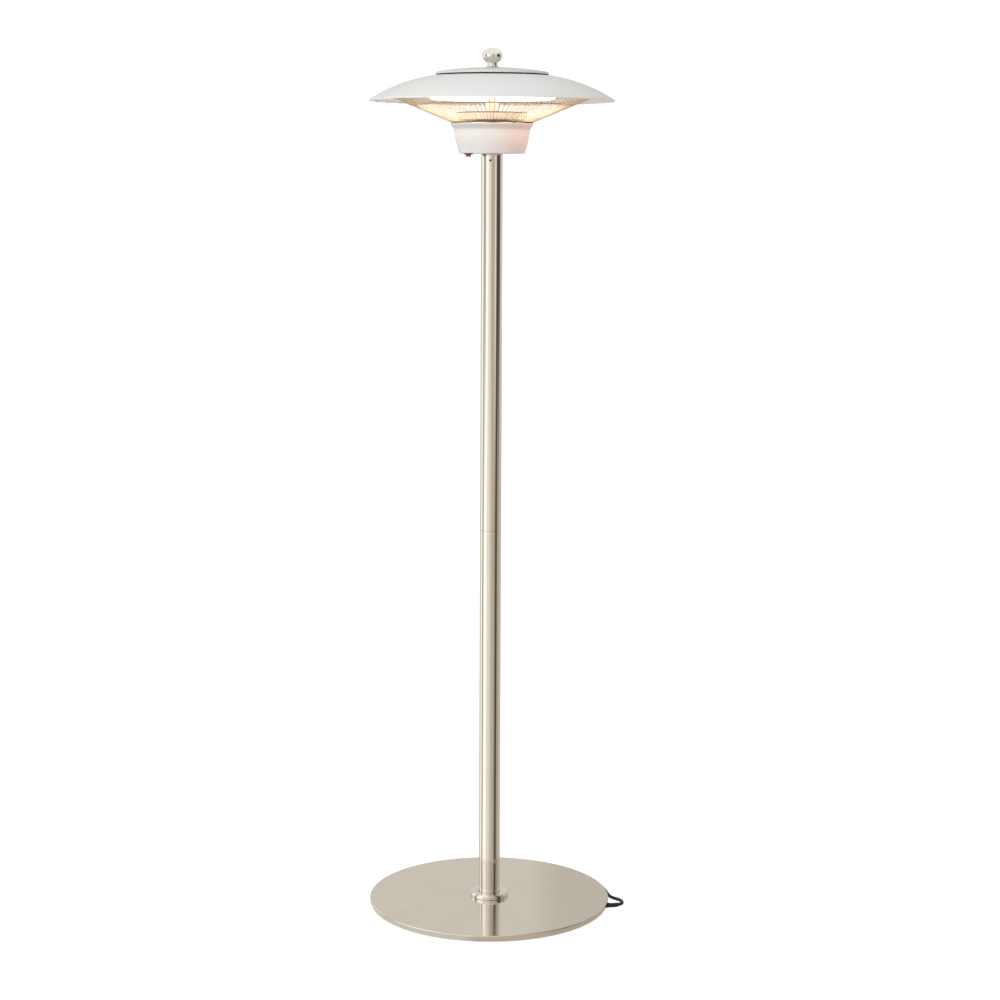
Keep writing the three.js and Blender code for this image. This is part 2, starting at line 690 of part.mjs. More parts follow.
// The cup's outside from its underside up the swelling side to the flared lip.
function cupOutside() {
  const edgeCentre = CUP_BOTTOM_RADIUS - CUP_BOTTOM_EDGE;
  const edge = arc(edgeCentre, CUP_BOTTOM_EDGE, CUP_BOTTOM_EDGE, -90, 0, FACES_ROUND_EDGE);
  const blendShare = CUP_BLEND / (CUP_HEIGHT - CUP_SIDE_HEIGHT);
  const flareStart = CUP_SIDE_RADIUS + (CUP_LIP_RADIUS - CUP_SIDE_RADIUS) * blendShare;
  const swellRadius = (CUP_BOTTOM_RADIUS + CUP_SIDE_RADIUS) / 2 + 2 * CUP_SIDE_SWELL;
  const sideEnd = new THREE.Vector2(CUP_SIDE_RADIUS, CUP_SIDE_HEIGHT - CUP_BLEND);
  const side = new THREE.QuadraticBezierCurve(
    new THREE.Vector2(CUP_BOTTOM_RADIUS, CUP_BOTTOM_EDGE),
    new THREE.Vector2(swellRadius, CUP_SIDE_HEIGHT / 2),
    sideEnd,
  );
  const blend = new THREE.QuadraticBezierCurve(
    sideEnd,
    new THREE.Vector2(CUP_SIDE_RADIUS, CUP_SIDE_HEIGHT),
    new THREE.Vector2(flareStart, CUP_SIDE_HEIGHT + CUP_BLEND),
  );
  const smooth = [...side.getPoints(3).slice(1), ...blend.getPoints(2).slice(1)];
  const lip = [CUP_HEIGHT - CUP_LIP_EDGE, CUP_HEIGHT].map((z) => [CUP_LIP_RADIUS, z]);
  return [[SLEEVE_RADIUS + FIT, 0], ...edge, ...smooth.map((p) => [p.x, p.y]), ...lip];
}

function cupHousing() {
  const shell = revolve(sheetOutline(cupOutside(), CUP_WALL), FACES_MIDDLE);
  const window = box(CASE_WIDTH + 2 * FIT, CASE_LENGTH + 2 * FIT, -1, CUP_FLOOR + 1);
  window.translate(SWITCH_X, SWITCH_Y, 0);
  const holes = roundHoles(spigotScrewPlaces, SPIGOT_SCREW_RADIUS + HOLE_PLAY, -1, CUP_FLOOR + 1);
  return cut(shell, window, ...holes);
}

// The stub that goes down into the pole, with its flange on the cup's floor.
function headSpigot() {
  const bottom = CUP_FLOOR + FIT;
  const outline = [
    [SLEEVE_BORE, -SPIGOT_LENGTH],
    [SLEEVE_RADIUS, -SPIGOT_LENGTH],
    [SLEEVE_RADIUS, bottom],
    [SPIGOT_FLANGE_RADIUS, bottom],
    [SPIGOT_FLANGE_RADIUS, SPIGOT_FLANGE_TOP],
    [SLEEVE_BORE, SPIGOT_FLANGE_TOP],
  ];
  const holes = roundHoles(spigotScrewPlaces, SPIGOT_SCREW_RADIUS + HOLE_PLAY, 0, SPIGOT_FLANGE_TOP + 1);
  const screwHole = poleScrewHole(-HEAD_SCREW_DROP - FIT, HEAD_SCREW_ANGLE);
  return cut(revolve(outline, FACES_POLE), screwHole, ...holes);
}

// The lid closes the cup. A ring under it centres it in the lip.
function cupLid() {
  const bottom = CUP_HEIGHT + FIT;
  const ringRadius = CUP_SIDE_RADIUS - CUP_WALL - FIT;
  const ringBottom = CUP_SIDE_HEIGHT - CUP_BLEND;
  const outline = [
    [ROD_RADIUS + HOLE_PLAY, bottom],
    [ringRadius - LID_RING_WALL, bottom],
    [ringRadius - LID_RING_WALL, ringBottom],
    [ringRadius, ringBottom],
    [ringRadius, bottom],
    [CUP_LIP_RADIUS, bottom],
    [CUP_LIP_RADIUS, LID_TOP],
    [ROD_RADIUS + HOLE_PLAY, LID_TOP],
  ];
  return revolve(outline, FACES_MIDDLE);
}

add(head, 'cup_housing', cupHousing(), whitePaint);
add(head, 'head_spigot', headSpigot(), zincSteel);
const spigotScrew = screw(
  SPIGOT_SCREW_RADIUS,
  SPIGOT_FLANGE_TOP,
  SPIGOT_SCREW_HEAD_RADIUS,
  SPIGOT_SCREW_HEAD_HEIGHT,
);
addRound(head, 'spigot_screw', spigotScrew, zincSteel, spigotScrewPlaces);
add(head, 'cup_lid', cupLid(), aluminium);

// ---- Switch ----
const BEZEL_BOTTOM = -FIT - BEZEL_THICKNESS;
const PIN_Z = BEZEL_BOTTOM + ROCKER_PIN_DEPTH; // of the rocker's axis

// The case through the cup's floor, its bezel under it, and the well that the rocker sits in.
function switchCase() {
  const bezel = box(BEZEL_WIDTH, BEZEL_LENGTH, BEZEL_BOTTOM, -FIT);
  const body = box(CASE_WIDTH, CASE_LENGTH, BEZEL_BOTTOM, CASE_HEIGHT);
  const wellWidth = ROCKER_WIDTH + 2 * ROCKER_PLAY;
  const well = box(wellWidth, ROCKER_LENGTH + 2 * WELL_END_ROOM, BEZEL_BOTTOM - 1, PIN_Z + WELL_HEIGHT);
  const span = wellWidth + 2 * (ROCKER_PIN_LENGTH + ROCKER_PLAY);
  const bearing = rodAlongX(ROCKER_PIN_RADIUS + ROCKER_PLAY, span, FACES_SMALL);
  return cut(join(bezel, body), well, bearing.translate(-span / 2, 0, PIN_Z));
}

// The rocker about its pin, tilted the way it stands when it is on: front end down.
function switchRocker() {
  const half = ROCKER_LENGTH / 2;
  const outline = shapeOf([
    [-half, -ROCKER_DROP],
    [0, -ROCKER_DIP],
    [half, -ROCKER_DROP],
    [half, 0],
    [half / 2, ROCKER_RISE],
    [-half / 2, ROCKER_RISE],
    [-half, 0],
  ]);
  const wings = extrude(outline, ROCKER_WIDTH).rotateX(Math.PI / 2).rotateZ(Math.PI / 2);
  wings.translate(-ROCKER_WIDTH / 2, 0, 0);
  const span = ROCKER_WIDTH + 2 * ROCKER_PIN_LENGTH;
  const pin = rodAlongX(ROCKER_PIN_RADIUS, span, FACES_SMALL).translate(-span / 2, 0, 0);
  return join(wings, pin).rotateX(radians(ROCKER_TILT));
}

add(head, 'switch_case', switchCase(), blackPlastic, [SWITCH_X, SWITCH_Y, 0]);
add(head, 'switch_rocker', switchRocker(), redPlastic, [SWITCH_X, SWITCH_Y, PIN_Z]);

// ---- Inside the cup ----
function terminalBlock() {
  const [width, depth, height] = TERMINAL_SIZE;
  const block = box(width, depth, 0, height);
  const grooves = [-1, 0, 1].map((i) =>
    box(TERMINAL_GROOVE, depth + 2, height * 0.75, height + 1).translate((i * width) / 4, 0, 0),
  );
  return cut(block, ...grooves);
}

function tiltSwitch() {
  const [r, h, edge] = [TILT_SWITCH_RADIUS, TILT_SWITCH_HEIGHT, 1.5];
  return revolve([[0, 0], [r, 0], [r, h - edge], [r - edge, h], [0, h]], FACES_SMALL);
}

add(head, 'terminal_block', terminalBlock(), ceramic, [0, TERMINAL_Y, CUP_FLOOR + FIT]);
add(head, 'tilt_switch', tiltSwitch(), blackPlastic, [TILT_SWITCH_X, 0, CUP_FLOOR + FIT]);

// ---- Heat shield, column and reflector ----
function heatShield() {
  const outside = [
    [TUBE_RADIUS + FIT, SHIELD_FLOOR],
    ...arc(SHIELD_RADIUS - COVER_EDGE, SHIELD_FLOOR + COVER_EDGE, COVER_EDGE, -90, 0, FACES_ROUND_EDGE),
    [SHIELD_RADIUS, SHIELD_FLOOR + SHIELD_HEIGHT - SHIELD_LIP],
    [SHIELD_RADIUS + SHIELD_LIP, SHIELD_FLOOR + SHIELD_HEIGHT],
  ];
  return revolve(sheetOutline(outside, SHIELD_SHEET), FACES_MIDDLE);
}

function reflectorZ(radius) {
  const share = (radius - REFLECTOR_FLAT) / (REFLECTOR_RADIUS - REFLECTOR_FLAT);
  return REFLECTOR_MIDDLE - REFLECTOR_DROP * Math.max(0, share);
}

function reflector() {
  const underside = [ROD_RADIUS + HOLE_PLAY, REFLECTOR_FLAT, REFLECTOR_RADIUS].map((r) => [r, reflectorZ(r)]);
  const topside = underside.map(([r, z]) => [r, z + REFLECTOR_SHEET]).reverse();
  return revolve([...underside, ...topside], FACES_WIDE);
}

// The long bolt through the head: a hexagon head under the lid, and the knob on its top.
function centreBolt() {
  const rod = tube(ROD_RADIUS, 0, CUP_HEIGHT - BOLT_HEX_HEIGHT, ROD_TOP, FACES_SMALL);
  return join(rod, tube(BOLT_HEX_RADIUS, 0, CUP_HEIGHT - BOLT_HEX_HEIGHT, CUP_HEIGHT, 6));
}

const postPlaces = { count: POST_COUNT, radius: POST_CIRCLE, first: BACK, z: LID_TOP + FIT };
addRound(head, 'shield_post', tube(POST_RADIUS, 0, 0, POST_HEIGHT, FACES_SCREW), zincSteel, postPlaces);
add(head, 'heat_shield', heatShield(), aluminium);
const column = tube(TUBE_RADIUS, TUBE_RADIUS - TUBE_WALL, 0, TUBE_HEIGHT, FACES_POLE);
add(head, 'centre_tube', column, zincSteel, [0, 0, LID_TOP + FIT]);
add(head, 'reflector', reflector(), aluminium);
add(head, 'centre_bolt', centreBolt(), zincSteel);

// ---- Heating ring ----
const RING_Z = REFLECTOR_MIDDLE - RING_BELOW_REFLECTOR;
const holderHalf = HOLDER_WIDTH / 2;
const ringEnd = holderHalf - HOLDER_BORE_DEPTH + 3 * FIT;
const RING_GAP = THREE.MathUtils.radToDeg(Math.asin(ringEnd / RING_RADIUS)); // from the back to each end

// The quartz tube: a ring left open at the back, where its two ends sit in the holder.
function heatingRing() {
  const circle = arc(0, 0, RING_RADIUS, BACK + RING_GAP, BACK + 360 - RING_GAP, 2 * RING_STEPS);
  const points = circle.map(([x, y]) => new THREE.Vector3(x, y, 0));
  return tubeAlong(points, RING_TUBE_RADIUS, RING_TUBE_FACES, RING_STEPS);
}

// The ceramic block with a bore at each end and a stem up to the reflector.
function ringHolder() {
  const stemTop = reflectorZ(RING_RADIUS + HOLDER_STEM) - RING_Z - 2 * FIT;
  const block = box(HOLDER_WIDTH, HOLDER_DEPTH, -HOLDER_HEIGHT / 2, HOLDER_HEIGHT / 2);
  const stem = tube(HOLDER_STEM, 0, 0, stemTop, FACES_SMALL);
  const sag = sagitta(RING_RADIUS, holderHalf - HOLDER_BORE_DEPTH / 2);
  const bore = (start) =>
    rodAlongX(RING_TUBE_RADIUS + HOLDER_PLAY, HOLDER_BORE_DEPTH + 1, FACES_SMALL).translate(start, -sag, 0);
  return cut(join(block, stem), bore(holderHalf - HOLDER_BORE_DEPTH), bore(-holderHalf - 1));
}

// A strip bent into a jaw round the tube, hung from the reflector.
function ringClip() {
  const inner = RING_TUBE_RADIUS + CLIP_PLAY;
  const outer = inner + CLIP_SHEET;
  const [from, to] = [-90 + CLIP_MOUTH, 270 - CLIP_MOUTH];
  const jaw = shapeOf([...arc(0, 0, outer, from, to, CLIP_STEPS), ...arc(0, 0, inner, to, from, CLIP_STEPS)]);
  const top = reflectorZ(RING_RADIUS + CLIP_WIDTH) - RING_Z - 2 * FIT;
  const ring = extrude(jaw, CLIP_WIDTH).rotateX(Math.PI / 2).translate(0, CLIP_WIDTH / 2, 0);
  const strip = box(CLIP_SHEET, CLIP_WIDTH, inner + CLIP_SHEET / 2, top);
  const tab = box(2 * CLIP_WIDTH, CLIP_WIDTH, top - CLIP_SHEET, top);
  return join(ring, strip, tab);
}

add(head, 'heating_ring', heatingRing(), quartz, [0, 0, RING_Z]);
const holderY = RING_RADIUS;
add(head, 'ring_holder', ringHolder(), ceramic, [0, holderY, RING_Z]);
const clipPlaces = { count: CLIP_COUNT, radius: RING_RADIUS, first: -BACK, z: RING_Z };
addRound(head, 'ring_clip', ringClip(), zincSteel, clipPlaces);

// ---- Guard: the welded wire cone ----
const GUARD_FOOT_Z = LID_TOP + FIT + GUARD_FOOT_WIRE / Math.SQRT2;
const GUARD_TOP_Z = reflectorZ(GUARD_TOP_RADIUS) - 2 * FIT - GUARD_TOP_WIRE / Math.SQRT2;
const GUARD_SLOPE = Math.atan2(GUARD_TOP_Z - GUARD_FOOT_Z, GUARD_TOP_RADIUS - GUARD_FOOT_RADIUS);

// A ring of square wire that lies along the cone's slope.
function guardRing(radius, z, wire) {
  const corner = THREE.MathUtils.radToDeg(GUARD_SLOPE) - 45;
  return revolve(arc(radius, z, wire / Math.SQRT2, corner, corner + 270, 3), GUARD_RING_FACES);
}

// Straight wires up the cone, fused to the foot ring and the top ring.
function guard() {
  const length = (GUARD_TOP_RADIUS - GUARD_FOOT_RADIUS) / Math.cos(GUARD_SLOPE);
  const wires = Array.from({ length: GUARD_WIRES }, (_, i) =>
    rodAlongX(GUARD_WIRE / Math.SQRT2, length, 4)
      .rotateX(Math.PI / 4)
      .rotateY(-GUARD_SLOPE)
      .translate(GUARD_FOOT_RADIUS, 0, GUARD_FOOT_Z)
      .rotateZ((2 * Math.PI * (i + 0.5)) / GUARD_WIRES),
  );
  return join(
    guardRing(GUARD_FOOT_RADIUS, GUARD_FOOT_Z, GUARD_FOOT_WIRE),
    guardRing(GUARD_TOP_RADIUS, GUARD_TOP_Z, GUARD_TOP_WIRE),
    ...wires,
  );
}

// The middle ring, tacked to the wires on their inside.
function guardMiddleRing() {
  const lift = (GUARD_WIRE + GUARD_MIDDLE_WIRE) / 2 + 2 * FIT;
  const rise = (GUARD_MIDDLE_RADIUS - GUARD_FOOT_RADIUS) * Math.tan(GUARD_SLOPE);
  const radius = GUARD_MIDDLE_RADIUS - lift * Math.sin(GUARD_SLOPE);
  return guardRing(radius, GUARD_FOOT_Z + rise + lift * Math.cos(GUARD_SLOPE), GUARD_MIDDLE_WIRE);
}

add(head, 'guard', guard(), guardWire);
add(head, 'guard_middle_ring', guardMiddleRing(), guardWire);

// ---- Shade ----
// The shade's outside from its rim up the curve to the flat top.
function shadeOutside() {
  const start = SHADE_ARC_START;
  const sine = Math.sin(radians(start)) + (SHADE_RADIUS - SHADE_FLAT) / SHADE_ARC;
  const end = THREE.MathUtils.radToDeg(Math.asin(sine));
  const cx = SHADE_FLAT - SHADE_ARC * Math.sin(radians(start));
  const cz = SHADE_TOP - SHADE_ARC * Math.cos(radians(start));
  const curve = arc(cx, cz, SHADE_ARC, 90 - end, 90 - start, SHADE_ARC_STEPS);
  const [rimRadius, rimZ] = curve[0];
  return [[rimRadius, rimZ - SHADE_RIM_DROP], ...curve, [ROD_RADIUS + HOLE_PLAY, SHADE_TOP]];
}

// One vent: a slot that follows the circle.
function ventCutter(index) {
  const from = (360 * index) / VENT_COUNT;
  const outline = [
    ...arc(0, 0, VENT_OUTER, from, from + VENT_SPREAD, FACES_ROUND_EDGE),
    ...arc(0, 0, VENT_INNER, from + VENT_SPREAD, from, FACES_ROUND_EDGE),
  ];
  return extrude(shapeOf(outline), 3 * SHADE_SHEET).translate(0, 0, SHADE_TOP - 2 * SHADE_SHEET);
}

function shade() {
  const vents = Array.from({ length: VENT_COUNT }, (_, i) => ventCutter(i));
  return cut(revolve(sheetOutline(shadeOutside(), SHADE_SHEET), FACES_WIDE), ...vents);
}

add(head, 'shade', shade(), whitePaint);
const hubSpacer = tube(HUB_SPACER_RADIUS, ROD_RADIUS + HOLE_PLAY, 0, HUB_SPACER_HEIGHT, FACES_SMALL);
add(head, 'hub_spacer', hubSpacer, zincSteel, [0, 0, REFLECTOR_TOP + FIT]);

// ---- Vent cap and knob ----
function domeZ(radius) {
  return CAP_TOP - sagitta(CAP_DOME, radius);
}

function ventCap() {
  const dome = Array.from({ length: CAP_DOME_STEPS }, (_, i) => {
    const r = CAP_DOME_RADIUS + ((ROD_RADIUS + HOLE_PLAY - CAP_DOME_RADIUS) * (i + 1)) / CAP_DOME_STEPS;
    return [r, domeZ(r)];
  });
  const edge = arc(CAP_DOME_RADIUS, CAP_EDGE_CENTRE, CAP_EDGE, 0, 90, FACES_ROUND_EDGE);
  return revolve(sheetOutline([[CAP_RADIUS, CAP_RIM], ...edge, ...dome], CAP_SHEET), FACES_MIDDLE);
}

function knob() {
  const ball = arc(0, 0, 1, KNOB_BALL_START, 90, KNOB_BALL_STEPS).map(([x, y]) => [
    x * KNOB_BALL_RADIUS,
    KNOB_BALL_CENTRE + y * KNOB_BALL_HALF_HEIGHT,
  ]);
  ball[ball.length - 1][0] = 0;
  const bore = ROD_RADIUS + HOLE_PLAY;
  const outline = [
    [0, KNOB_BORE_DEPTH],
    [bore, KNOB_BORE_DEPTH],
    [bore, 0],
    [KNOB_FOOT_RADIUS, 0],
    [KNOB_FOOT_RADIUS, KNOB_FOOT_HEIGHT],
    [KNOB_NECK_RADIUS, KNOB_NECK_HEIGHT],
    ...ball,
  ];
  return revolve(outline, KNOB_FACES);
}

const capPostHeight = domeZ(CAP_POST_CIRCLE + CAP_POST_RADIUS) - CAP_SHEET - SHADE_TOP - 2 * FIT;
const capPost = tube(CAP_POST_RADIUS, 0, 0, capPostHeight, FACES_SCREW);
const capPostPlaces = { count: CAP_POST_COUNT, radius: CAP_POST_CIRCLE, first: BACK, z: SHADE_TOP + FIT };
addRound(head, 'cap_post', capPost, zincSteel, capPostPlaces);
add(head, 'vent_cap', ventCap(), whitePaint);
add(head, 'knob', knob(), polishedSteel, [0, 0, KNOB_FOOT]);

// ---- Cable inside the pole ----
// The cable from the gland along the groove, up the pole and over to the terminal block.
function innerCable() {
  const at = (reach, z) => polar(1, EXIT_ANGLE).multiplyScalar(reach).setZ(z);
  const upright = at(-CABLE_OFFSET, CUP_Z - CABLE_TOP_BELOW_CUP);
  const bendHeight = EXIT_HEIGHT + CABLE_BEND;
  const footBend = arc(CABLE_BEND - CABLE_OFFSET, bendHeight, CABLE_BEND, 270, 180, CABLE_BEND_STEPS);
  const topBend = arc(upright.y + CABLE_BEND, upright.z, CABLE_BEND, 180, 90, CABLE_BEND_STEPS);
  const end = TERMINAL_Y - TERMINAL_SIZE[1] / 2 - FIT;
  const points = [
    at(GLAND_INSIDE - FIT, EXIT_HEIGHT),
    ...footBend.map(([reach, z]) => at(reach, z)),
    ...topBend.map(([y, z]) => new THREE.Vector3(upright.x, y, z)),
    new THREE.Vector3(upright.x, end, upright.z + CABLE_BEND),
  ];
  return sweep(points, CORD_RADIUS, CORD_FACES);
}

// ---- Lead ----
const leadRoute = new THREE.CatmullRomCurve3(
  LEAD_ROUTE.map((p) => new THREE.Vector3(...p)),
  false,
  'centripetal',
);
leadRoute.arcLengthDivisions = 1000;
const leadLength = leadRoute.getLength();

// Points on the lead's route from one distance to another.
function alongLead(from, to, steps) {
  return Array.from({ length: steps + 1 }, (_, i) => {
    const distance = from + ((to - from) * i) / steps;
    return leadRoute.getPointAt(Math.min(1, distance / leadLength));
  });
}

// The gland: a flange and a neck in the skirt, and a tapered boot that bends with the lead.
function gland() {
  const flange = rodAlongX(GLAND_FLANGE_RADIUS, GLAND_FLANGE_THICKNESS, GLAND_FACES);
  const neck = rodAlongX(GLAND_NECK_RADIUS, BASE_RADIUS + GLAND_SHOULDER - GLAND_INSIDE, GLAND_FACES);
  const seat = join(flange, neck).translate(GLAND_INSIDE, 0, EXIT_HEIGHT).rotateZ(radians(EXIT_ANGLE));
  const beforeTip = GLAND_LENGTH - CORD_RADIUS / 4;
  const points = [...alongLead(0, beforeTip, GLAND_STEPS), ...alongLead(beforeTip, GLAND_LENGTH, 1).slice(1)];
  const taper = (GLAND_NECK_RADIUS - GLAND_TIP_RADIUS) / (points.length - 1);
  const boot = sweep(points, points.map((_, i) => GLAND_NECK_RADIUS - taper * i), GLAND_FACES);
  return join(seat, boot);
}

function lead() {
  const start = GLAND_LENGTH + FIT;
  const steps = Math.ceil((leadLength - start) / CORD_STEP);
  return tubeAlong(alongLead(start, leadLength, 12 * steps), CORD_RADIUS, CORD_FACES, steps);
}

// ---- Hank ----
// How far a run has drawn in, from 0 at its ends to 1 along the tied waist.
function drawnIn(place) {
  const slope = (HANK_RUN - HANK_WAIST) / 2;
  const fromEnd = Math.min(place, HANK_RUN - place);
  return (1 - Math.cos(Math.PI * Math.min(1, fromEnd / slope))) / 2;
}

// The hank's centre line. Each layer runs out, folds, runs back up to the next layer and folds
// again, from the waist of the lowest layer to the waist of the top one.
function hankLine(runPlaces, foldSteps) {
  const line = [];
  const run = (layer, place, side) => {
    const climb = side < 0 ? 1 - place / HANK_RUN : 0;
    const rise = HANK_PITCH * climb * climb * (3 - 2 * climb);
    const x = side * (HANK_FOLD - (HANK_FOLD - HANK_X) * drawnIn(place));
    const z = HANK_FLOOR + layer * HANK_PITCH + rise + HANK_LIFT * drawnIn(place);
    line.push(new THREE.Vector3(x, HANK_Y + place, z));
  };
  const fold = (layer, y, side) => {
    for (let i = 1; i < foldSteps; i++) {
      const angle = (Math.PI * i) / foldSteps;
      const [x, past] = [HANK_FOLD * Math.cos(angle), HANK_FOLD * Math.sin(angle)];
      line.push(new THREE.Vector3(side * x, y + side * past, HANK_FLOOR + layer * HANK_PITCH));
    }
  };
  for (let layer = 0; layer < HANK_LAYERS; layer++) {
    const [first, last] = [layer === 0, layer === HANK_LAYERS - 1];
    const out = runPlaces.filter((p) => (!first || p >= HANK_RUN / 2) && (!last || p <= HANK_RUN / 2));
    out.forEach((place) => run(layer, place, 1));
    if (last) break;
    fold(layer, HANK_Y + HANK_RUN, 1);
    [...runPlaces].reverse().forEach((place) => run(layer, place, -1));
    fold(layer + 1, HANK_Y, -1);
  }
  return line;
}

// The least room between two turns of a line, as a distance between surfaces.
function leastGap(line) {
  const near = 4 * CORD_RADIUS;
  const along = [0];
  for (let i = 1; i < line.length; i++) along.push(along[i - 1] + line[i].distanceTo(line[i - 1]));
  let least = Infinity;
  for (let i = 0; i < line.length; i++) {
    for (let j = i + 1; j < line.length; j++) {
      if (along[j] - along[i] > 2 * near) least = Math.min(least, line[i].distanceTo(line[j]));
    }
  }
  return least - 2 * CORD_RADIUS;
}

const slopeLength = (HANK_RUN - HANK_WAIST) / 2;
const runPlaces = [0, slopeLength / 2, slopeLength, HANK_RUN / 2, HANK_RUN - slopeLength];
runPlaces.push(HANK_RUN - slopeLength / 2, HANK_RUN);
const denseRun = Array.from({ length: 63 }, (_, i) => (HANK_RUN * i) / 62);
const denseHank = hankLine(denseRun, 40);
console.log(`hank: least gap between turns ${leastGap(denseHank).toFixed(2)} mm`);

// The band round the waist.
function tie() {
  const halfWidth = HANK_X + CORD_RADIUS + 2 * TIE_PLAY;
  const top = HANK_FLOOR + HANK_LIFT + (HANK_LAYERS - 1) * HANK_PITCH + CORD_RADIUS + TIE_PLAY;
  const bottom = HANK_FLOOR + HANK_LIFT - CORD_RADIUS - FIT;
  const band = (grow) => {
    const [x, low, high, r] = [halfWidth + grow, bottom - grow, top + grow, TIE_CORNER / 2 + grow];
    return [
      ...arc(x - r, low + r, r, -90, 0, FACES_ROUND_EDGE),
      ...arc(x - r, high - r, r, 0, 90, FACES_ROUND_EDGE),
      ...arc(r - x, high - r, r, 90, 180, FACES_ROUND_EDGE),
      ...arc(r - x, low + r, r, 180, 270, FACES_ROUND_EDGE),
    ];
  };
  const shape = shapeOf(band(TIE_THICKNESS));
  shape.holes.push(shapeOf(band(0)));
  return extrude(shape, TIE_WIDTH).rotateX(Math.PI / 2).translate(0, TIE_WIDTH / 2, 0);
}

// ---- Plug ----
// A round moulded plug along +Y: its boot, body and front face.
function plugBody() {
  const length = PLUG_BOOT_LENGTH + PLUG_BODY_LENGTH;
  const outline = [
    [0, 0],
    [PLUG_BOOT_RADIUS, 0],
    [PLUG_NECK_RADIUS, PLUG_BOOT_LENGTH],
    [PLUG_RADIUS - PLUG_SHOULDER / 4, PLUG_BOOT_LENGTH + PLUG_SHOULDER / 2],
    [PLUG_RADIUS, PLUG_BOOT_LENGTH + PLUG_SHOULDER],
    [PLUG_RADIUS, length - 1],
    [PLUG_RADIUS - 1, length],
    [0, length],
  ];
  return revolve(outline, PLUG_FACES).rotateX(-Math.PI / 2);
}

function tail() {
  const points = TAIL_ROUTE.map((p) => new THREE.Vector3(...p));
  const steps = Math.ceil(points[0].distanceTo(points[points.length - 1]) / CORD_STEP);
  return tubeAlong(points, CORD_RADIUS, CORD_FACES, steps);
}

add(cord, 'inner_cable', innerCable(), cordRubber);
add(cord, 'cord_gland', gland(), rubber);
add(cord, 'cord_lead', lead(), cordRubber);
add(cord, 'cord_hank', sweep(hankLine(runPlaces, FOLD_STEPS), CORD_RADIUS, HANK_FACES), cordRubber);
add(cord, 'cord_tie', tie(), rubber, [0, HANK_Y + HANK_RUN / 2, 0]);
add(cord, 'cord_tail', tail(), cordRubber);
add(cord, 'plug_body', plugBody(), rubber, [HANK_X, PLUG_Y, PLUG_HEIGHT]);
const plugFace = PLUG_Y + PLUG_BOOT_LENGTH + PLUG_BODY_LENGTH + FIT;
const pin = rodAlongX(PLUG_PIN_RADIUS, PLUG_PIN_LENGTH, FACES_SCREW).rotateZ(Math.PI / 2);
const pinHalf = PLUG_PIN_SPACING / 2;
add(cord, 'plug_pin_left', pin, pinBrass, [HANK_X - pinHalf, plugFace, PLUG_HEIGHT]);
add(cord, 'plug_pin_right', pin, pinBrass, [HANK_X + pinHalf, plugFace, PLUG_HEIGHT]);

export default parts;
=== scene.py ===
"""A free-standing infrared patio heater, 2.1 m tall.

A round steel base with a mains cord carries a steel pole in two lengths. On the pole sits the
head: a white cup with a rocker switch, a wire guard round a glowing quartz ring, a reflector, a
white shade, a vent cap and a round knob. The sections follow the heater as it is put together.
Sizes in the sections are in millimetres unless they say otherwise.
"""

import math

import bmesh
import bpy
from mathutils import Matrix, Vector


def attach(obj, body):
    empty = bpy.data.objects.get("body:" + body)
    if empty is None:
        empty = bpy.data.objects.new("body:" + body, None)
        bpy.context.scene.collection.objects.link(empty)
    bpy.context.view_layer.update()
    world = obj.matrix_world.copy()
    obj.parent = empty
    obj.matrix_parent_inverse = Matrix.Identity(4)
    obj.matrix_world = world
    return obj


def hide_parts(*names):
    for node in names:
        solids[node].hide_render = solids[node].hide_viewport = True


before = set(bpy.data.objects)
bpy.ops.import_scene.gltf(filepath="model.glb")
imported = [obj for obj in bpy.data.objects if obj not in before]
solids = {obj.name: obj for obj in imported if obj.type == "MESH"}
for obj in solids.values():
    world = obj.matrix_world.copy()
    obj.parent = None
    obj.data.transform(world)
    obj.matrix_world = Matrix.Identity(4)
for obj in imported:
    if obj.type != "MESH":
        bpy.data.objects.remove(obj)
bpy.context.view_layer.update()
scene = bpy.context.scene
MM = 0.001

# ---- Camera ----
# A long lens 5.2 m in front of the heater, a little under the shade's height and looking 5
# degrees down. The heater leans to the right by a fifth of a degree in the picture.
CAMERA_PLACE = (0, -5.2165, 1.7958)  # metres
CAMERA_DOWN = 5.0  # degrees
CAMERA_LEAN = 0.22  # degrees
FOCAL_PIXELS = 2155.4
PICTURE_PIXELS = 1000
SENSOR_WIDTH = 36

camera_lens = bpy.data.cameras.new("camera")
camera_lens.sensor_width = SENSOR_WIDTH
camera_lens.lens = FOCAL_PIXELS / PICTURE_PIXELS * SENSOR_WIDTH
camera_lens.shift_x = 0.0088
camera_lens.shift_y = -0.1366
camera_lens.clip_end = 200
camera = bpy.data.objects.new("camera", camera_lens)
pitch = Matrix.Rotation(math.radians(90 - CAMERA_DOWN), 4, "X")
lean = Matrix.Rotation(math.radians(CAMERA_LEAN), 4, "Z")
camera.matrix_world = Matrix.Translation(CAMERA_PLACE) @ pitch @ lean
scene.collection.objects.link(camera)
scene.camera = camera

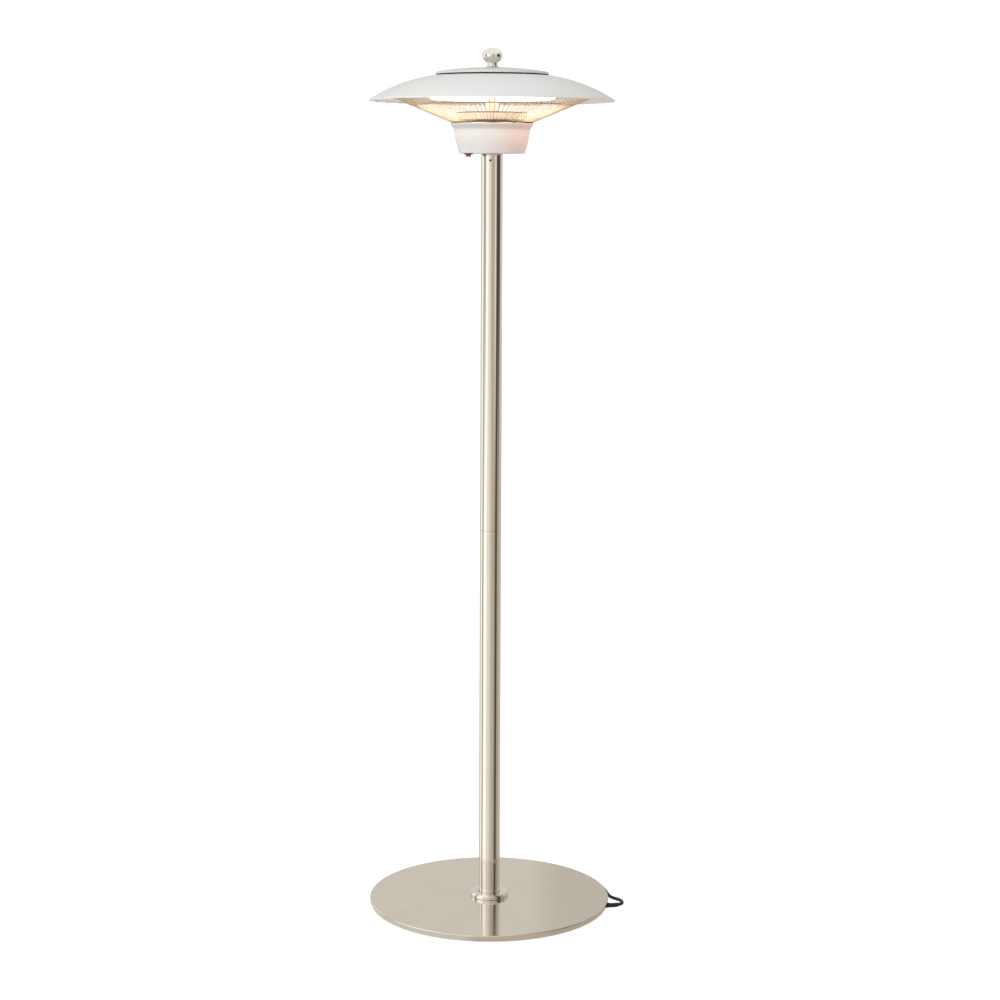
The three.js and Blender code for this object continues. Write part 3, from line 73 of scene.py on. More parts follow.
# ---- Mains cord ----
# A round rubber lead, 8 mm thick, out of the base's edge at the right. It runs round the back of
# the base to a tied hank of four layers behind the pole, and ends in a round two-pin plug.
CORD_RADIUS = 4
EXIT_ANGLE = -10  # degrees from the right
EXIT_HEIGHT = 7.5
LEAD_ROUTE = [
    (291.5, -51.4, 7.5), (305.3, -50.8, 7.5), (317.6, -44.4, 6.8), (326.1, -33.4, 5.4),
    (329.1, -19.9, 4.6), (325.6, -5.4, 4.2), (315.9, 6, 4.2), (306.9, 14.7, 4.2),
    (300.7, 25.5, 4.2), (297.7, 36.8, 4.2), (288.4, 82.7, 4.2), (269.6, 131.5, 4.2),
    (242.7, 176.3, 4.2), (208.4, 215.8, 4.2), (167.8, 248.7, 4.2), (122, 274.1, 4.2),
    (77.7, 289.8, 4.2), (32.9, 298.2, 4.2), (21.4, 301.8, 4.2), (12.3, 309, 4.2),
    (6.3, 319, 4.2), (4.4, 330, 4.2), (4.4, 345, 4.6), (4.4, 360, 6),
    (4.4, 372, 6.2), (4.4, 396.7, 6.2),
]
TAIL_ROUTE = [
    (4.4, 397.3, 32), (4.4, 425, 31.8), (4.4, 455, 31.2), (4.4, 483, 30),
    (4.4, 496, 26.2), (4.4, 506, 21.8), (4.4, 514, 19.3), (4.4, 522, 18.8),
    (4.4, 530.7, 18.8),
]
BOOT_LENGTH = 27
HANK_X, HANK_Y, HANK_RUN, HANK_FOLD, HANK_WAIST = 4.4, 335, 124, 24, 16
HANK_LAYERS, HANK_PITCH, HANK_FLOOR, HANK_LIFT = 4, 8.6, 4.2, 2
FOLD_STEPS = 24


def smooth_line(route, steps):
    """A smooth line through the points of a route, with that many steps from one to the next."""
    points = [Vector(p) for p in route]
    points = [2 * points[0] - points[1], *points, 2 * points[-1] - points[-2]]
    line = []
    for p, a, b, q in zip(points, points[1:], points[2:], points[3:]):
        before, between, after = ((v - u).length ** 0.5 for u, v in ((p, a), (a, b), (b, q)))
        start = (a - p) / before - (b - p) / (before + between) + (b - a) / between
        end = (b - a) / between - (q - a) / (between + after) + (q - b) / after
        start, end = start * between, end * between
        for k in range(steps):
            t = k / steps
            line.append(
                a + t * start + t * t * (3 * (b - a) - 2 * start - end) + t**3 * (2 * (a - b) + start + end)
            )
    return line + [points[-2]]


def line_length(line):
    return sum((b - a).length for a, b in zip(line, line[1:]))


def part_of_line(line, start, end, steps):
    """Points at even distances along a line, from one distance to another."""
    stations = [0.0]
    for a, b in zip(line, line[1:]):
        stations.append(stations[-1] + (b - a).length)
    found = []
    for k in range(steps + 1):
        place = start + (end - start) * k / steps
        i = next((n for n in range(1, len(line) - 1) if stations[n] >= place), len(line) - 1)
        share = (place - stations[i - 1]) / (stations[i] - stations[i - 1])
        found.append(line[i - 1].lerp(line[i], share))
    return found


def hank_line():
    """The hank's centre line: out and back along the runs, with a fold at each end of a layer."""
    line = []
    slope = (HANK_RUN - HANK_WAIST) / 2

    def run(layer, place, side):
        drawn = (1 - math.cos(math.pi * min(1, min(place, HANK_RUN - place) / slope))) / 2
        climb = 1 - place / HANK_RUN if side < 0 else 0
        rise = HANK_PITCH * climb**2 * (3 - 2 * climb)
        x = side * (HANK_FOLD - (HANK_FOLD - HANK_X) * drawn)
        line.append(Vector((x, HANK_Y + place, HANK_FLOOR + HANK_PITCH * layer + rise + HANK_LIFT * drawn)))

    def fold(layer, y, side):
        for k in range(1, FOLD_STEPS):
            angle = math.pi * k / FOLD_STEPS
            x, past = HANK_FOLD * math.cos(angle), HANK_FOLD * math.sin(angle)
            line.append(Vector((side * x, y + side * past, HANK_FLOOR + HANK_PITCH * layer)))

    places = [HANK_RUN * k / 30 for k in range(31)]
    for layer in range(HANK_LAYERS):
        first, last = layer == 0, layer == HANK_LAYERS - 1
        for place in places:
            if (not first or place >= HANK_RUN / 2) and (not last or place <= HANK_RUN / 2):
                run(layer, place, 1)
        if last:
            break
        fold(layer, HANK_Y + HANK_RUN, 1)
        for place in reversed(places):
            run(layer, place, -1)
        fold(layer + 1, HANK_Y, -1)
    return line


def new_group(name, inputs, outputs):
    """An empty shader node group with its sockets. Returns it with its input and output nodes."""
    group = bpy.data.node_groups.new(name, "ShaderNodeTree")
    for label, kind, value in inputs:
        socket = group.interface.new_socket(label, in_out="INPUT", socket_type=kind)
        if value is not None:
            socket.default_value = value
    for label, kind in outputs:
        group.interface.new_socket(label, in_out="OUTPUT", socket_type=kind)
    return group, group.nodes.new("NodeGroupInput"), group.nodes.new("NodeGroupOutput")


def node(tree, kind, settings=(), **inputs):
    """A new node. Inputs are values, or outputs of other nodes to link; _ stands for a space."""
    made = tree.nodes.new(kind)
    for key, value in dict(settings).items():
        setattr(made, key, value)
    for key, value in inputs.items():
        socket = made.inputs[int(key[1:]) if key[1:].isdigit() else key.replace("_", " ")]
        if isinstance(value, bpy.types.NodeSocket):
            tree.links.new(value, socket)
        else:
            socket.default_value = value
    return made


def maths(tree, operation, *values):
    """The result of a calculation with values or outputs of other nodes."""
    inputs = {f"_{k}": value for k, value in enumerate(values)}
    return node(tree, "ShaderNodeMath", {"operation": operation}, **inputs).outputs[0]


def tone_ramp(tree, factor, *stops):
    """A colour ramp over a factor. Each stop is a place and a grey value or a colour."""
    ramp = node(tree, "ShaderNodeValToRGB", Fac=factor)
    elements = ramp.color_ramp.elements
    while len(elements) < len(stops):
        elements.new(0.5)
    for element, (place, tone) in zip(elements, stops):
        element.position = place
        element.color = (*(tone if hasattr(tone, "__len__") else (tone,) * 3), 1)
    return ramp.outputs["Color"]


# Fine moulding or paint texture and the faint handling marks over it.
skin, skin_in, skin_out = new_group(
    "moulded_skin",
    [
        ("Color", "NodeSocketColor", None),
        ("Grain", "NodeSocketFloat", 900.0),
        ("Blotch", "NodeSocketFloat", 9.0),
        ("Shade", "NodeSocketFloat", 0.06),
        ("Rough", "NodeSocketFloat", 0.5),
        ("Rough Change", "NodeSocketFloat", 0.08),
    ],
    [("Color", "NodeSocketColor"), ("Roughness", "NodeSocketFloat"), ("Height", "NodeSocketFloat")],
)
place = node(skin, "ShaderNodeTexCoord").outputs["Object"]
grain = node(skin, "ShaderNodeTexNoise", Vector=place, Scale=skin_in.outputs["Grain"], Detail=3.0)
blotch = node(skin, "ShaderNodeTexNoise", Vector=place, Scale=skin_in.outputs["Blotch"], Detail=4.0)
centred = maths(skin, "SUBTRACT", blotch.outputs["Fac"], 0.5)
change = maths(skin, "MULTIPLY_ADD", centred, skin_in.outputs["Shade"], 1.0)
shaded = node(skin, "ShaderNodeVectorMath", {"operation": "SCALE"}, _0=skin_in.outputs["Color"])
skin.links.new(change, shaded.inputs["Scale"])
rough = maths(skin, "MULTIPLY_ADD", centred, skin_in.outputs["Rough Change"], skin_in.outputs["Rough"])
skin.links.new(shaded.outputs[0], skin_out.inputs["Color"])
skin.links.new(rough, skin_out.inputs["Roughness"])
skin.links.new(grain.outputs["Fac"], skin_out.inputs["Height"])


def finish_of(name, roughness, metallic=0.0):
    """A new material. Returns it with its node tree and its shader."""
    material = bpy.data.materials.new(name)
    material.use_nodes = True
    shader = material.node_tree.nodes["Principled BSDF"]
    shader.inputs["Roughness"].default_value = roughness
    shader.inputs["Metallic"].default_value = metallic
    return material, material.node_tree, shader


def bump(tree, shader, height, depth, strength=1.0):
    """Raises the surface by a height texture, at most that many millimetres."""
    made = node(tree, "ShaderNodeBump", Height=height, Strength=strength, Distance=depth * MM)
    tree.links.new(made.outputs["Normal"], shader.inputs["Normal"])


def moulded(name, color, rough, grain=900.0, depth=0.05, shade=0.12, coat=0.0, specular=0.5):
    """A moulded, cast or painted finish made with the moulded skin."""
    material, tree, shader = finish_of(name, rough)
    look = node(tree, "ShaderNodeGroup", {"node_tree": skin}, Color=(*color, 1), Grain=grain, Shade=shade, Rough=rough)
    tree.links.new(look.outputs["Color"], shader.inputs["Base Color"])
    tree.links.new(look.outputs["Roughness"], shader.inputs["Roughness"])
    shader.inputs["Coat Weight"].default_value = coat
    shader.inputs["Coat Roughness"].default_value = 0.12
    shader.inputs["Specular IOR Level"].default_value = specular
    bump(tree, shader, look.outputs["Height"], depth)
    return material


def seat(piece, replaced, finish, body="root", inside=None):
    """Gives a piece its finish and puts it on its body, in place of its plain solids."""
    if inside is None:
        piece.data.materials.clear()
        piece.data.materials.append(finish)
    else:
        piece.data.materials[0], piece.data.materials[1] = finish, inside
    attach(piece, body)
    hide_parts(*replaced)
    return piece


def solid_piece(name, points, faces, sharp=38):
    """A mesh from points in millimetres, smooth but for edges sharper than that many degrees."""
    mesh = bpy.data.meshes.new(name)
    mesh.from_pydata([Vector(p) * MM for p in points], [], faces)
    work = bmesh.new()
    work.from_mesh(mesh)
    bmesh.ops.recalc_face_normals(work, faces=work.faces)
    work.to_mesh(mesh)
    work.free()
    mesh.shade_smooth()
    mesh.set_sharp_from_angle(angle=math.radians(sharp))
    piece = bpy.data.objects.new(name, mesh)
    scene.collection.objects.link(piece)
    return piece


def turned(name, outline, steps=96, sharp=38, frame_of=None):
    """A body turned about Z from its half section, a closed outline of radii and heights."""
    points, rows, faces = [], [], []
    for radius, height in outline:
        if radius < 1e-6:
            rows.append([len(points)] * steps)
            points.append((0, 0, height))
            continue
        rows.append(list(range(len(points), len(points) + steps)))
        for k in range(steps):
            angle = 2 * math.pi * k / steps
            points.append((radius * math.cos(angle), radius * math.sin(angle), height))
    for low, high in zip(rows, rows[1:] + rows[:1]):
        for k in range(steps):
            n = (k + 1) % steps
            face = list(dict.fromkeys((low[k], low[n], high[n], high[k])))
            if len(face) > 2:
                faces.append(face)
    if frame_of is not None:
        points = [frame_of @ Vector(p) for p in points]
    return solid_piece(name, points, faces, sharp)


def eased(outline, steps=4):
    """An outline with corners rounded. Each point is x, y and the length the rounding takes."""
    found = []
    for i, (x, y, *ease) in enumerate(outline):
        here = Vector((x, y))
        if not ease:
            found.append((x, y))
            continue
        before = here + (Vector(outline[i - 1][:2]) - here).normalized() * ease[0]
        after = here + (Vector(outline[(i + 1) % len(outline)][:2]) - here).normalized() * ease[0]
        for k in range(steps + 1):
            t = k / steps
            found.append(tuple((1 - t) ** 2 * before + 2 * t * (1 - t) * here + t * t * after))
    return found


def bands(rows, around):
    """The faces between rows of points, where each row goes once round."""
    faces = []
    for row in range(rows - 1):
        low, high = row * around, (row + 1) * around
        for k in range(around):
            n = (k + 1) % around
            faces.append((low + k, low + n, high + n, high + k))
    return faces


def swept(name, line, radii, sides=24, sharp=50):
    """A closed round body along a line. Each point of the line has its own radius."""
    points = []
    side = Vector((0, 0, 1))
    last = len(line) - 1
    for i, centre in enumerate(line):
        along = (line[min(i + 1, last)] - line[max(i - 1, 0)]).normalized()
        side = (side - along * side.dot(along)).normalized()
        across = along.cross(side)
        for k in range(sides):
            angle = 2 * math.pi * k / sides
            points.append(centre + radii[i] * (math.cos(angle) * side + math.sin(angle) * across))
    ends = [tuple(range(sides)), tuple(range(last * sides, (last + 1) * sides))]
    return solid_piece(name, points, bands(len(line), sides) + ends, sharp)


lead_line = smooth_line(LEAD_ROUTE, 8)
lead_run = part_of_line(lead_line, BOOT_LENGTH - 0.2, line_length(lead_line), 200)
tail_run = smooth_line(TAIL_ROUTE, 5)
whole_line = lead_run[:-1] + hank_line() + tail_run[1:]

cord_curve = bpy.data.curves.new("mains_cord", "CURVE")
cord_curve.dimensions = "3D"
cord_curve.bevel_depth = CORD_RADIUS * MM
cord_curve.bevel_resolution = 6
cord_curve.use_fill_caps = True
spline = cord_curve.splines.new("POLY")
spline.points.add(len(whole_line) - 1)
for point, here in zip(spline.points, whole_line):
    point.co = (*(here * MM), 1)
spline.use_smooth = True
mains_cord = bpy.data.objects.new("mains_cord", cord_curve)
scene.collection.objects.link(mains_cord)
cord_finish = moulded("cord_rubber", (0.012, 0.012, 0.013), 0.5, grain=1400, depth=0.06, shade=0.5)
seat(mains_cord, ["cord_lead", "cord_hank", "cord_tail"], cord_finish)

# The strain relief: a soft boot on the lead, ribbed and thinner towards its tip, with the neck
# and flange that hold it in the skirt of the base.
BOOT_RIBS = 5
BOOT_STEPS = 60
RIB_DEPTH = 0.7
boot_line = part_of_line(lead_line, 0, BOOT_LENGTH, BOOT_STEPS)
boot_radii = []
for k in range(BOOT_STEPS + 1):
    share = k / BOOT_STEPS
    in_groove = 0.12 < share < 0.92 and math.sin(2 * math.pi * (share - 0.12) / 0.8 * BOOT_RIBS) < -0.1
    boot_radii.append(6 - share - (RIB_DEPTH if in_groove else 0))
boot_radii[-1] -= 0.5
boot = swept("cord_boot", boot_line, boot_radii)
to_exit = Matrix.Rotation(math.radians(EXIT_ANGLE), 4, "Z") @ Matrix.Translation((0, 0, EXIT_HEIGHT))
to_exit = to_exit @ Matrix.Rotation(math.radians(90), 4, "Y")
neck = turned(
    "cord_neck",
    [(0, 289), *eased([(7, 289, 0.6), (7, 291, 0.6)]), (6, 291), *eased([(6.6, 296.5, 0.8)]), (0, 296.5)],
    steps=32,
    frame_of=to_exit,
)
rubber_finish = moulded("black_rubber", (0.016, 0.016, 0.017), 0.62, grain=1100, depth=0.08, shade=0.5)
seat(boot, ["cord_gland"], rubber_finish)
seat(neck, ["cord_gland"], rubber_finish)

# The tie: a flat rubber band round the hank's waist, with fine ribs across it.
TIE_WIDTH, TIE_WALL, TIE_RIBS = 9, 1.4, 6
TIE_HALF_WIDTH, TIE_LOW, TIE_HIGH = 9.4, 1.9, 36.5


def band(grow, ease):
    """The tie's outline round the hank, that much outside its inner size."""
    x, low, high = TIE_HALF_WIDTH + grow, TIE_LOW - grow, TIE_HIGH + grow
    return eased([(x, low, ease), (x, high, ease), (-x, high, ease), (-x, low, ease)], 8)


band_out, band_in = band(TIE_WALL, 4), band(0, 3)
tie_middle = HANK_Y + HANK_RUN / 2
tie_rows = []
for k in range(4 * TIE_RIBS + 1):
    place = tie_middle - TIE_WIDTH / 2 + TIE_WIDTH * k / (4 * TIE_RIBS)
    tie_rows.append((place, 1 - (0.03 if k % 4 in (0, 1) else 0)))
tie_points, tie_faces = [], []
loop = len(band_out)
middle = (TIE_LOW + TIE_HIGH) / 2
for y, grow in tie_rows:
    tie_points += [(x * grow, y, middle + (z - middle) * grow) for x, z in band_out]
inner_start = len(tie_points)
for y in (tie_rows[0][0], tie_rows[-1][0]):
    tie_points += [(x, y, z) for x, z in band_in]
for k in range(loop):
    n = (k + 1) % loop
    for row in range(len(tie_rows) - 1):
        a, b = row * loop, (row + 1) * loop
        tie_faces.append((a + k, a + n, b + n, b + k))
    a, b = inner_start, inner_start + loop
    tie_faces.append((a + k, b + k, b + n, a + n))
    end = (len(tie_rows) - 1) * loop
    tie_faces.append((k, a + k, a + n, n))
    tie_faces.append((end + k, end + n, b + n, b + k))
tie = solid_piece("hank_tie", tie_points, tie_faces)
seat(tie, ["cord_tie"], rubber_finish)

# The plug: one rubber moulding with a ribbed boot, a round body with grip ridges, and two brass
# pins with rounded ends.
PLUG_PLACE = (4.4, 531, 18.8)
PIN_HALF_SPACING = 9.5
to_plug = Matrix.Translation(PLUG_PLACE) @ Matrix.Rotation(math.radians(-90), 4, "X")
plug_outline = [(0, 0), (5.1, 0), (5.4, 0.4)]
for k in range(6):
    start = 3 + 4 * k
    radius = 5.4 + 3.6 * start / 28
    plug_outline += [(radius, start), (radius - 0.7, start + 0.4)]
    plug_outline += [(radius - 0.6, start + 1.6), (radius + 0.3, start + 2)]
plug_outline += [(9, 28), (11.2, 30.2), (13.8, 34.8), (16.4, 38.8), (18, 42)]
for k in range(4):
    start = 43 + 3 * k
    plug_outline += [(18.4, start), (18.4, start + 1.6), (17.9, start + 1.9), (17.9, start + 2.7)]
plug_outline += [(18.4, 55.5), *eased([(18.4, 62, 1)]), (0, 62)]
plug = turned("mains_plug", plug_outline, steps=64, frame_of=to_plug)
seat(plug, ["plug_body"], rubber_finish)

pin_finish, tree, shader = finish_of("plug_pins", 0.28, 1.0)
tarnish = node(tree, "ShaderNodeTexNoise", Scale=160.0, Detail=4.0)
tree.links.new(
    tone_ramp(tree, tarnish.outputs["Fac"], (0.3, (0.62, 0.48, 0.25)), (0.7, (0.78, 0.64, 0.38))),
    shader.inputs["Base Color"],
)
for side, name in ((-1, "plug_pin_left"), (1, "plug_pin_right")):
    outline = [(0, 62.3), (2.4, 62.3), *eased([(2.4, 81.3, 1.2)]), (0, 81.3)]
    to_pin = Matrix.Translation((side * PIN_HALF_SPACING, 0, 0)) @ to_plug
    pin = turned(name + "_turned", outline, steps=24, frame_of=to_pin)
    seat(pin, [name], pin_finish)

# ---- Base ----
# A pressed stainless pan, 590 mm across, over a flat cast weight on six rubber feet. The brushed
# top shows fine streaks from the middle to the edge, and its edge is rounded over.
BASE_RADIUS, BASE_TOP, COVER_SHEET, COVER_EDGE, SKIRT_LIFT, CABLE_HOLE = 295, 16, 1.2, 2, 1, 20


def arc(x, y, radius, start, end, steps):
    """Points on an arc, with angles in degrees."""
    found = []
    for k in range(steps + 1):
        angle = math.radians(start + (end - start) * k / steps)
        found.append((x + radius * math.cos(angle), y + radius * math.sin(angle)))
    return found


def spun_sheet(name, line, thickness, steps=144, sharp=38, skip=None, inside=0):
    """A sheet turned about Z. The line is its outside, from its lower or outer edge inwards. skip
    says which of its faces are left out as openings, and inside which finish its inside has."""
    points, faces = [], []
    for radius, height in line:
        for k in range(steps):
            angle = 2 * math.pi * k / steps
            points.append(Vector((radius * math.cos(angle), radius * math.sin(angle), height)) * MM)
    for row in range(len(line) - 1):
        for k in range(steps):
            n = (k + 1) % steps
            if skip is None or not skip(row, k):
                faces.append((row * steps + k, row * steps + n, (row + 1) * steps + n, (row + 1) * steps + k))
    mesh = bpy.data.meshes.new(name)
    mesh.from_pydata(points, [], faces)
    mesh.shade_smooth()
    piece = bpy.data.objects.new(name, mesh)
    scene.collection.objects.link(piece)
    wall = piece.modifiers.new("wall", "SOLIDIFY")
    wall.thickness = thickness * MM
    wall.offset = -1
    wall.use_even_offset = True
    wall.material_offset = inside
    for _ in range(inside + 1):
        mesh.materials.append(None)
    view = bpy.context.evaluated_depsgraph_get()
    made = bpy.data.meshes.new_from_object(piece.evaluated_get(view))
    piece.modifiers.clear()
    piece.data = made
    made.set_sharp_from_angle(angle=math.radians(sharp))
    return piece


# Fine marks round the axis, from turning or from brushing. The three scales say how quickly they
# change round the axis, out from it and along it.
marks, marks_in, marks_out = new_group(
    "marks_round_axis",
    [
        ("Round", "NodeSocketFloat", 10.0),
        ("Out", "NodeSocketFloat", 10.0),
        ("Along", "NodeSocketFloat", 10.0),
        ("Detail", "NodeSocketFloat", 3.0),
    ],
    [("Fac", "NodeSocketFloat")],
)
position = node(marks, "ShaderNodeSeparateXYZ", _0=node(marks, "ShaderNodeTexCoord").outputs["Object"])
flat_place = node(marks, "ShaderNodeCombineXYZ", X=position.outputs["X"], Y=position.outputs["Y"])
outward = node(marks, "ShaderNodeVectorMath", {"operation": "LENGTH"}, _0=flat_place.outputs[0])
heading = node(marks, "ShaderNodeVectorMath", {"operation": "NORMALIZE"}, _0=flat_place.outputs[0])
round_part = node(marks, "ShaderNodeVectorMath", {"operation": "SCALE"}, _0=heading.outputs[0])
marks.links.new(marks_in.outputs["Round"], round_part.inputs["Scale"])
out_part = maths(marks, "MULTIPLY", outward.outputs["Value"], marks_in.outputs["Out"])
along_part = maths(marks, "MULTIPLY_ADD", position.outputs["Z"], marks_in.outputs["Along"], out_part)
lifted = node(marks, "ShaderNodeCombineXYZ", Z=along_part)
total = node(marks, "ShaderNodeVectorMath", {"operation": "ADD"}, _0=round_part.outputs[0], _1=lifted.outputs[0])
noise = node(marks, "ShaderNodeTexNoise", Vector=total.outputs[0], Scale=1.0, Detail=marks_in.outputs["Detail"])
marks.links.new(noise.outputs["Fac"], marks_out.inputs["Fac"])


def metal(name, dark, light, rough, rough_change, scales, depth=0.02):
    """A bare metal between two colours, with marks round the axis at those scales."""
    material, tree, shader = finish_of(name, rough, 1.0)
    round_scale, out_scale, along_scale = scales
    streaks = node(
        tree, "ShaderNodeGroup", {"node_tree": marks}, Round=round_scale, Out=out_scale, Along=along_scale
    ).outputs["Fac"]
    tree.links.new(tone_ramp(tree, streaks, (0.3, dark), (0.7, light)), shader.inputs["Base Color"])
    spread = node(tree, "ShaderNodeMapRange", Value=streaks, To_Min=rough - rough_change, To_Max=rough + rough_change)
    tree.links.new(spread.outputs["Result"], shader.inputs["Roughness"])
    bump(tree, shader, streaks, depth)
    return material


cover_line = [
    (BASE_RADIUS, SKIRT_LIFT),
    (BASE_RADIUS, 7),
    *arc(BASE_RADIUS - COVER_EDGE, BASE_TOP - COVER_EDGE, COVER_EDGE, 0, 90, 6),
    (288, BASE_TOP),
    (200, BASE_TOP),
    (100, BASE_TOP),
    (CABLE_HOLE, BASE_TOP),
]
base_steel = metal("base_steel", (0.81, 0.778, 0.735), (0.845, 0.815, 0.775), 0.11, 0.03, (4, 1.5, 3), 0.002)
base_cover = spun_sheet("base_pan", cover_line, COVER_SHEET, steps=192)
seat(base_cover, ["base_cover"], base_steel)

# The weight, its bolts and the pole's socket are bare castings and zinc plated steel.
cast_iron = moulded("cast_iron", (0.045, 0.045, 0.047), 0.75, grain=500, depth=0.25, shade=0.5)
zinc = metal("zinc_plate", (0.42, 0.44, 0.45), (0.6, 0.61, 0.6), 0.38, 0.1, (6, 40, 40))


def dress(name, finish):
    """Gives a plain solid that stays its finish."""
    solids[name].data.materials.clear()
    solids[name].data.materials.append(finish)


dress("base_weight", cast_iron)
for name in ("pole_socket", "base_bolt_1", "base_bolt_2", "base_bolt_3"):
    dress(name, zinc)

# The feet: rubber buttons with a ring groove in the sole.
FOOT_CIRCLE, FOOT_COUNT = 250, 6
for k in range(FOOT_COUNT):
    angle = math.radians(30 + 360 / FOOT_COUNT * k)
    at = Matrix.Translation((FOOT_CIRCLE * math.cos(angle), FOOT_CIRCLE * math.sin(angle), 0))
    outline = [(0, 0.8), (7, 0.8), (7.6, 0), *eased([(14.5, 0, 0.6)]), *eased([(16, 6.2, 0.4)]), (0, 6.2)]
    foot = turned(f"rubber_foot_{k + 1}", outline, steps=40, frame_of=at)
    seat(foot, [f"foot_{k + 1}"], rubber_finish)

# The collar: a loose turned cover that hides the bolts at the pole's foot.
collar_outline = eased(
    [
        (26.7, 25.4), (26.7, 26.6, 0.4), (40, 27.3, 0.6), (44.5, 27.3, 1.4),
        (46.2, 24.6, 0.6), (47, 24, 0.5), (47, 17.2, 0.7), (46.2, 16.3),
        (44.6, 16.3), (44.6, 24.9, 0.8), (30.9, 24.9, 0.8),
    ]
)
collar = turned("foot_collar", collar_outline, steps=96)
polished = metal("polished_steel", (0.86, 0.84, 0.81), (0.93, 0.915, 0.89), 0.07, 0.03, (3, 60, 60), 0.004)
seat(collar, ["base_collar"], polished)

# ---- Pole ----
# Two lengths of 52 mm stainless tube that meet end to end over a joiner inside. The grain of the
# brushing runs along the tube. Black grub screws lock the joints.
POLE_RADIUS, POLE_WALL = 26, 1.5
HOLE_RADIUS = 2.9
POLE_SCREWS = {
    "socket_screw": (80.6, 90),
    "joiner_screw_lower": (899.6, 90),
    "joiner_screw_upper": (961.9, 90),
    "head_screw": (1830.6, -99),
}  # height, and degrees round the pole


def to_screw(height, angle):
    """Turns a body that stands on Z so that it lies along a pole screw."""
    across = Matrix.Translation((0, 0, height)) @ Matrix.Rotation(math.radians(90), 4, "Y")
    return Matrix.Rotation(math.radians(angle), 4, "Z") @ across


def cut_away(piece, cutter):
    """Cuts a body out of a piece and removes that body."""
    hole = piece.modifiers.new("hole", "BOOLEAN")
    hole.object = cutter
    hole.operation = "DIFFERENCE"
    view = bpy.context.evaluated_depsgraph_get()
    made = bpy.data.meshes.new_from_object(piece.evaluated_get(view))
    piece.modifiers.clear()
    piece.data = made
    made.set_sharp_from_angle(angle=math.radians(38))
    bpy.data.objects.remove(cutter)


pole_steel = metal("pole_steel", (0.82, 0.79, 0.745), (0.88, 0.855, 0.815), 0.085, 0.02, (48, 0, 0.8), 0.002)
for name, foot_z, top_z in (("pole_lower", 20.6, 930.6), ("pole_upper", 930.9, 1846.6)):
    bore = POLE_RADIUS - POLE_WALL
    drilled = [(height, angle) for height, angle in POLE_SCREWS.values() if foot_z < height < top_z]
    hole_rows = [(POLE_RADIUS, height + side) for height, angle in sorted(drilled) for side in (-4, 4)]
    outline = eased([(bore, foot_z), (POLE_RADIUS, foot_z, 0.3), *hole_rows, (POLE_RADIUS, top_z, 0.3), (bore, top_z)])
    tube = turned(name + "_tube", outline, steps=192)
    for height, angle in drilled:
        drill = [(0, 20), (HOLE_RADIUS, 20), (HOLE_RADIUS, 30), (0, 30)]
        cut_away(tube, turned("drill", drill, steps=32, frame_of=to_screw(height, angle)))
    seat(tube, [name], pole_steel)
dress("pole_joiner", zinc)

black_steel, tree, shader = finish_of("black_steel", 0.42, 0.8)
scale_marks = node(tree, "ShaderNodeTexNoise", Scale=700.0, Detail=3.0)
tree.links.new(tone_ramp(tree, scale_marks.outputs["Fac"], (0.3, 0.008), (0.75, 0.03)), shader.inputs["Base Color"])
bump(tree, shader, scale_marks.outputs["Fac"], 0.02)
GRUB_RADIUS, GRUB_LENGTH, GRUB_OUTER, KEY_RADIUS, KEY_DEPTH = 2.5, 3.4, 25.9, 1.2, 1.6
for name, (height, angle) in POLE_SCREWS.items():
    inner = GRUB_OUTER - GRUB_LENGTH
    outline = [(0, inner), (GRUB_RADIUS, inner), *eased([(GRUB_RADIUS, GRUB_OUTER, 0.35)])]
    outline += [(KEY_RADIUS, GRUB_OUTER), (KEY_RADIUS * 0.9, GRUB_OUTER - KEY_DEPTH), (0, GRUB_OUTER - KEY_DEPTH)]
    grub = turned(name + "_grub", outline, steps=24, frame_of=to_screw(height, angle))
    seat(grub, [name], black_steel)

# ---- Cup ----
# The spun aluminium housing at the pole's top, painted with a darker copy of the shade's white, as
# painted shade. Its side swells a little and flares out to an upright lip. A bright lid closes it
# under the heater; its top face is painted near-black as painted shade.
CUP_Z = 1846.9
CUP_WALL = 1.6
# The cup's and the cap's shares darken the white as painted shade.
WHITE, CUP_PAINTED_SHADE, CAP_PAINTED_SHADE = (0.78, 0.775, 0.765), 0.87, 0.84


def bend(a, b, c, steps):
    """Points on a smooth bend from a to c that heads for b."""
    a, b, c = Vector(a), Vector(b), Vector(c)
    return [tuple((1 - t) ** 2 * a + 2 * t * (1 - t) * b + t * t * c) for t in (k / steps for k in range(1, steps + 1))]


cup_line = [
    (24.5, 0),
    *arc(77, 2, 2, -90, 0, 5),
    *bend((79, 2), (88.35, 28.5), (91.1, 53), 10),
    *bend((91.1, 53), (91.1, 57), (93.55, 61), 5),
    (98.9, 68.2),
    (99.4, 68.9),
    (99.4, 70.5),
]
cup_line = [(radius, CUP_Z + height) for radius, height in cup_line]
paint = {"rough": 0.42, "grain": 420, "depth": 0.03, "shade": 0.03, "coat": 0.25, "specular": 0.4}
white_paint = moulded("white_paint", WHITE, **paint)
# Painted shade: the cup and the cap take the same white made darker, for the light that falls on them.
shaded_cup_white = moulded("cup_paint_painted_shade", [CUP_PAINTED_SHADE * tone for tone in WHITE], **paint)
shaded_cap_white = moulded("cap_paint_painted_shade", [CAP_PAINTED_SHADE * tone for tone in WHITE], **paint)
cup = spun_sheet("cup_shell", cup_line, CUP_WALL)


def block(name, low, high):
    """A box between two corners."""
    corners = [(x, y, z) for x in (low[0], high[0]) for y in (low[1], high[1]) for z in (low[2], high[2])]
    sides = [(0, 1, 3, 2), (4, 6, 7, 5), (0, 4, 5, 1), (2, 3, 7, 6), (0, 2, 6, 4), (1, 5, 7, 3)]
    return solid_piece(name, corners, sides)


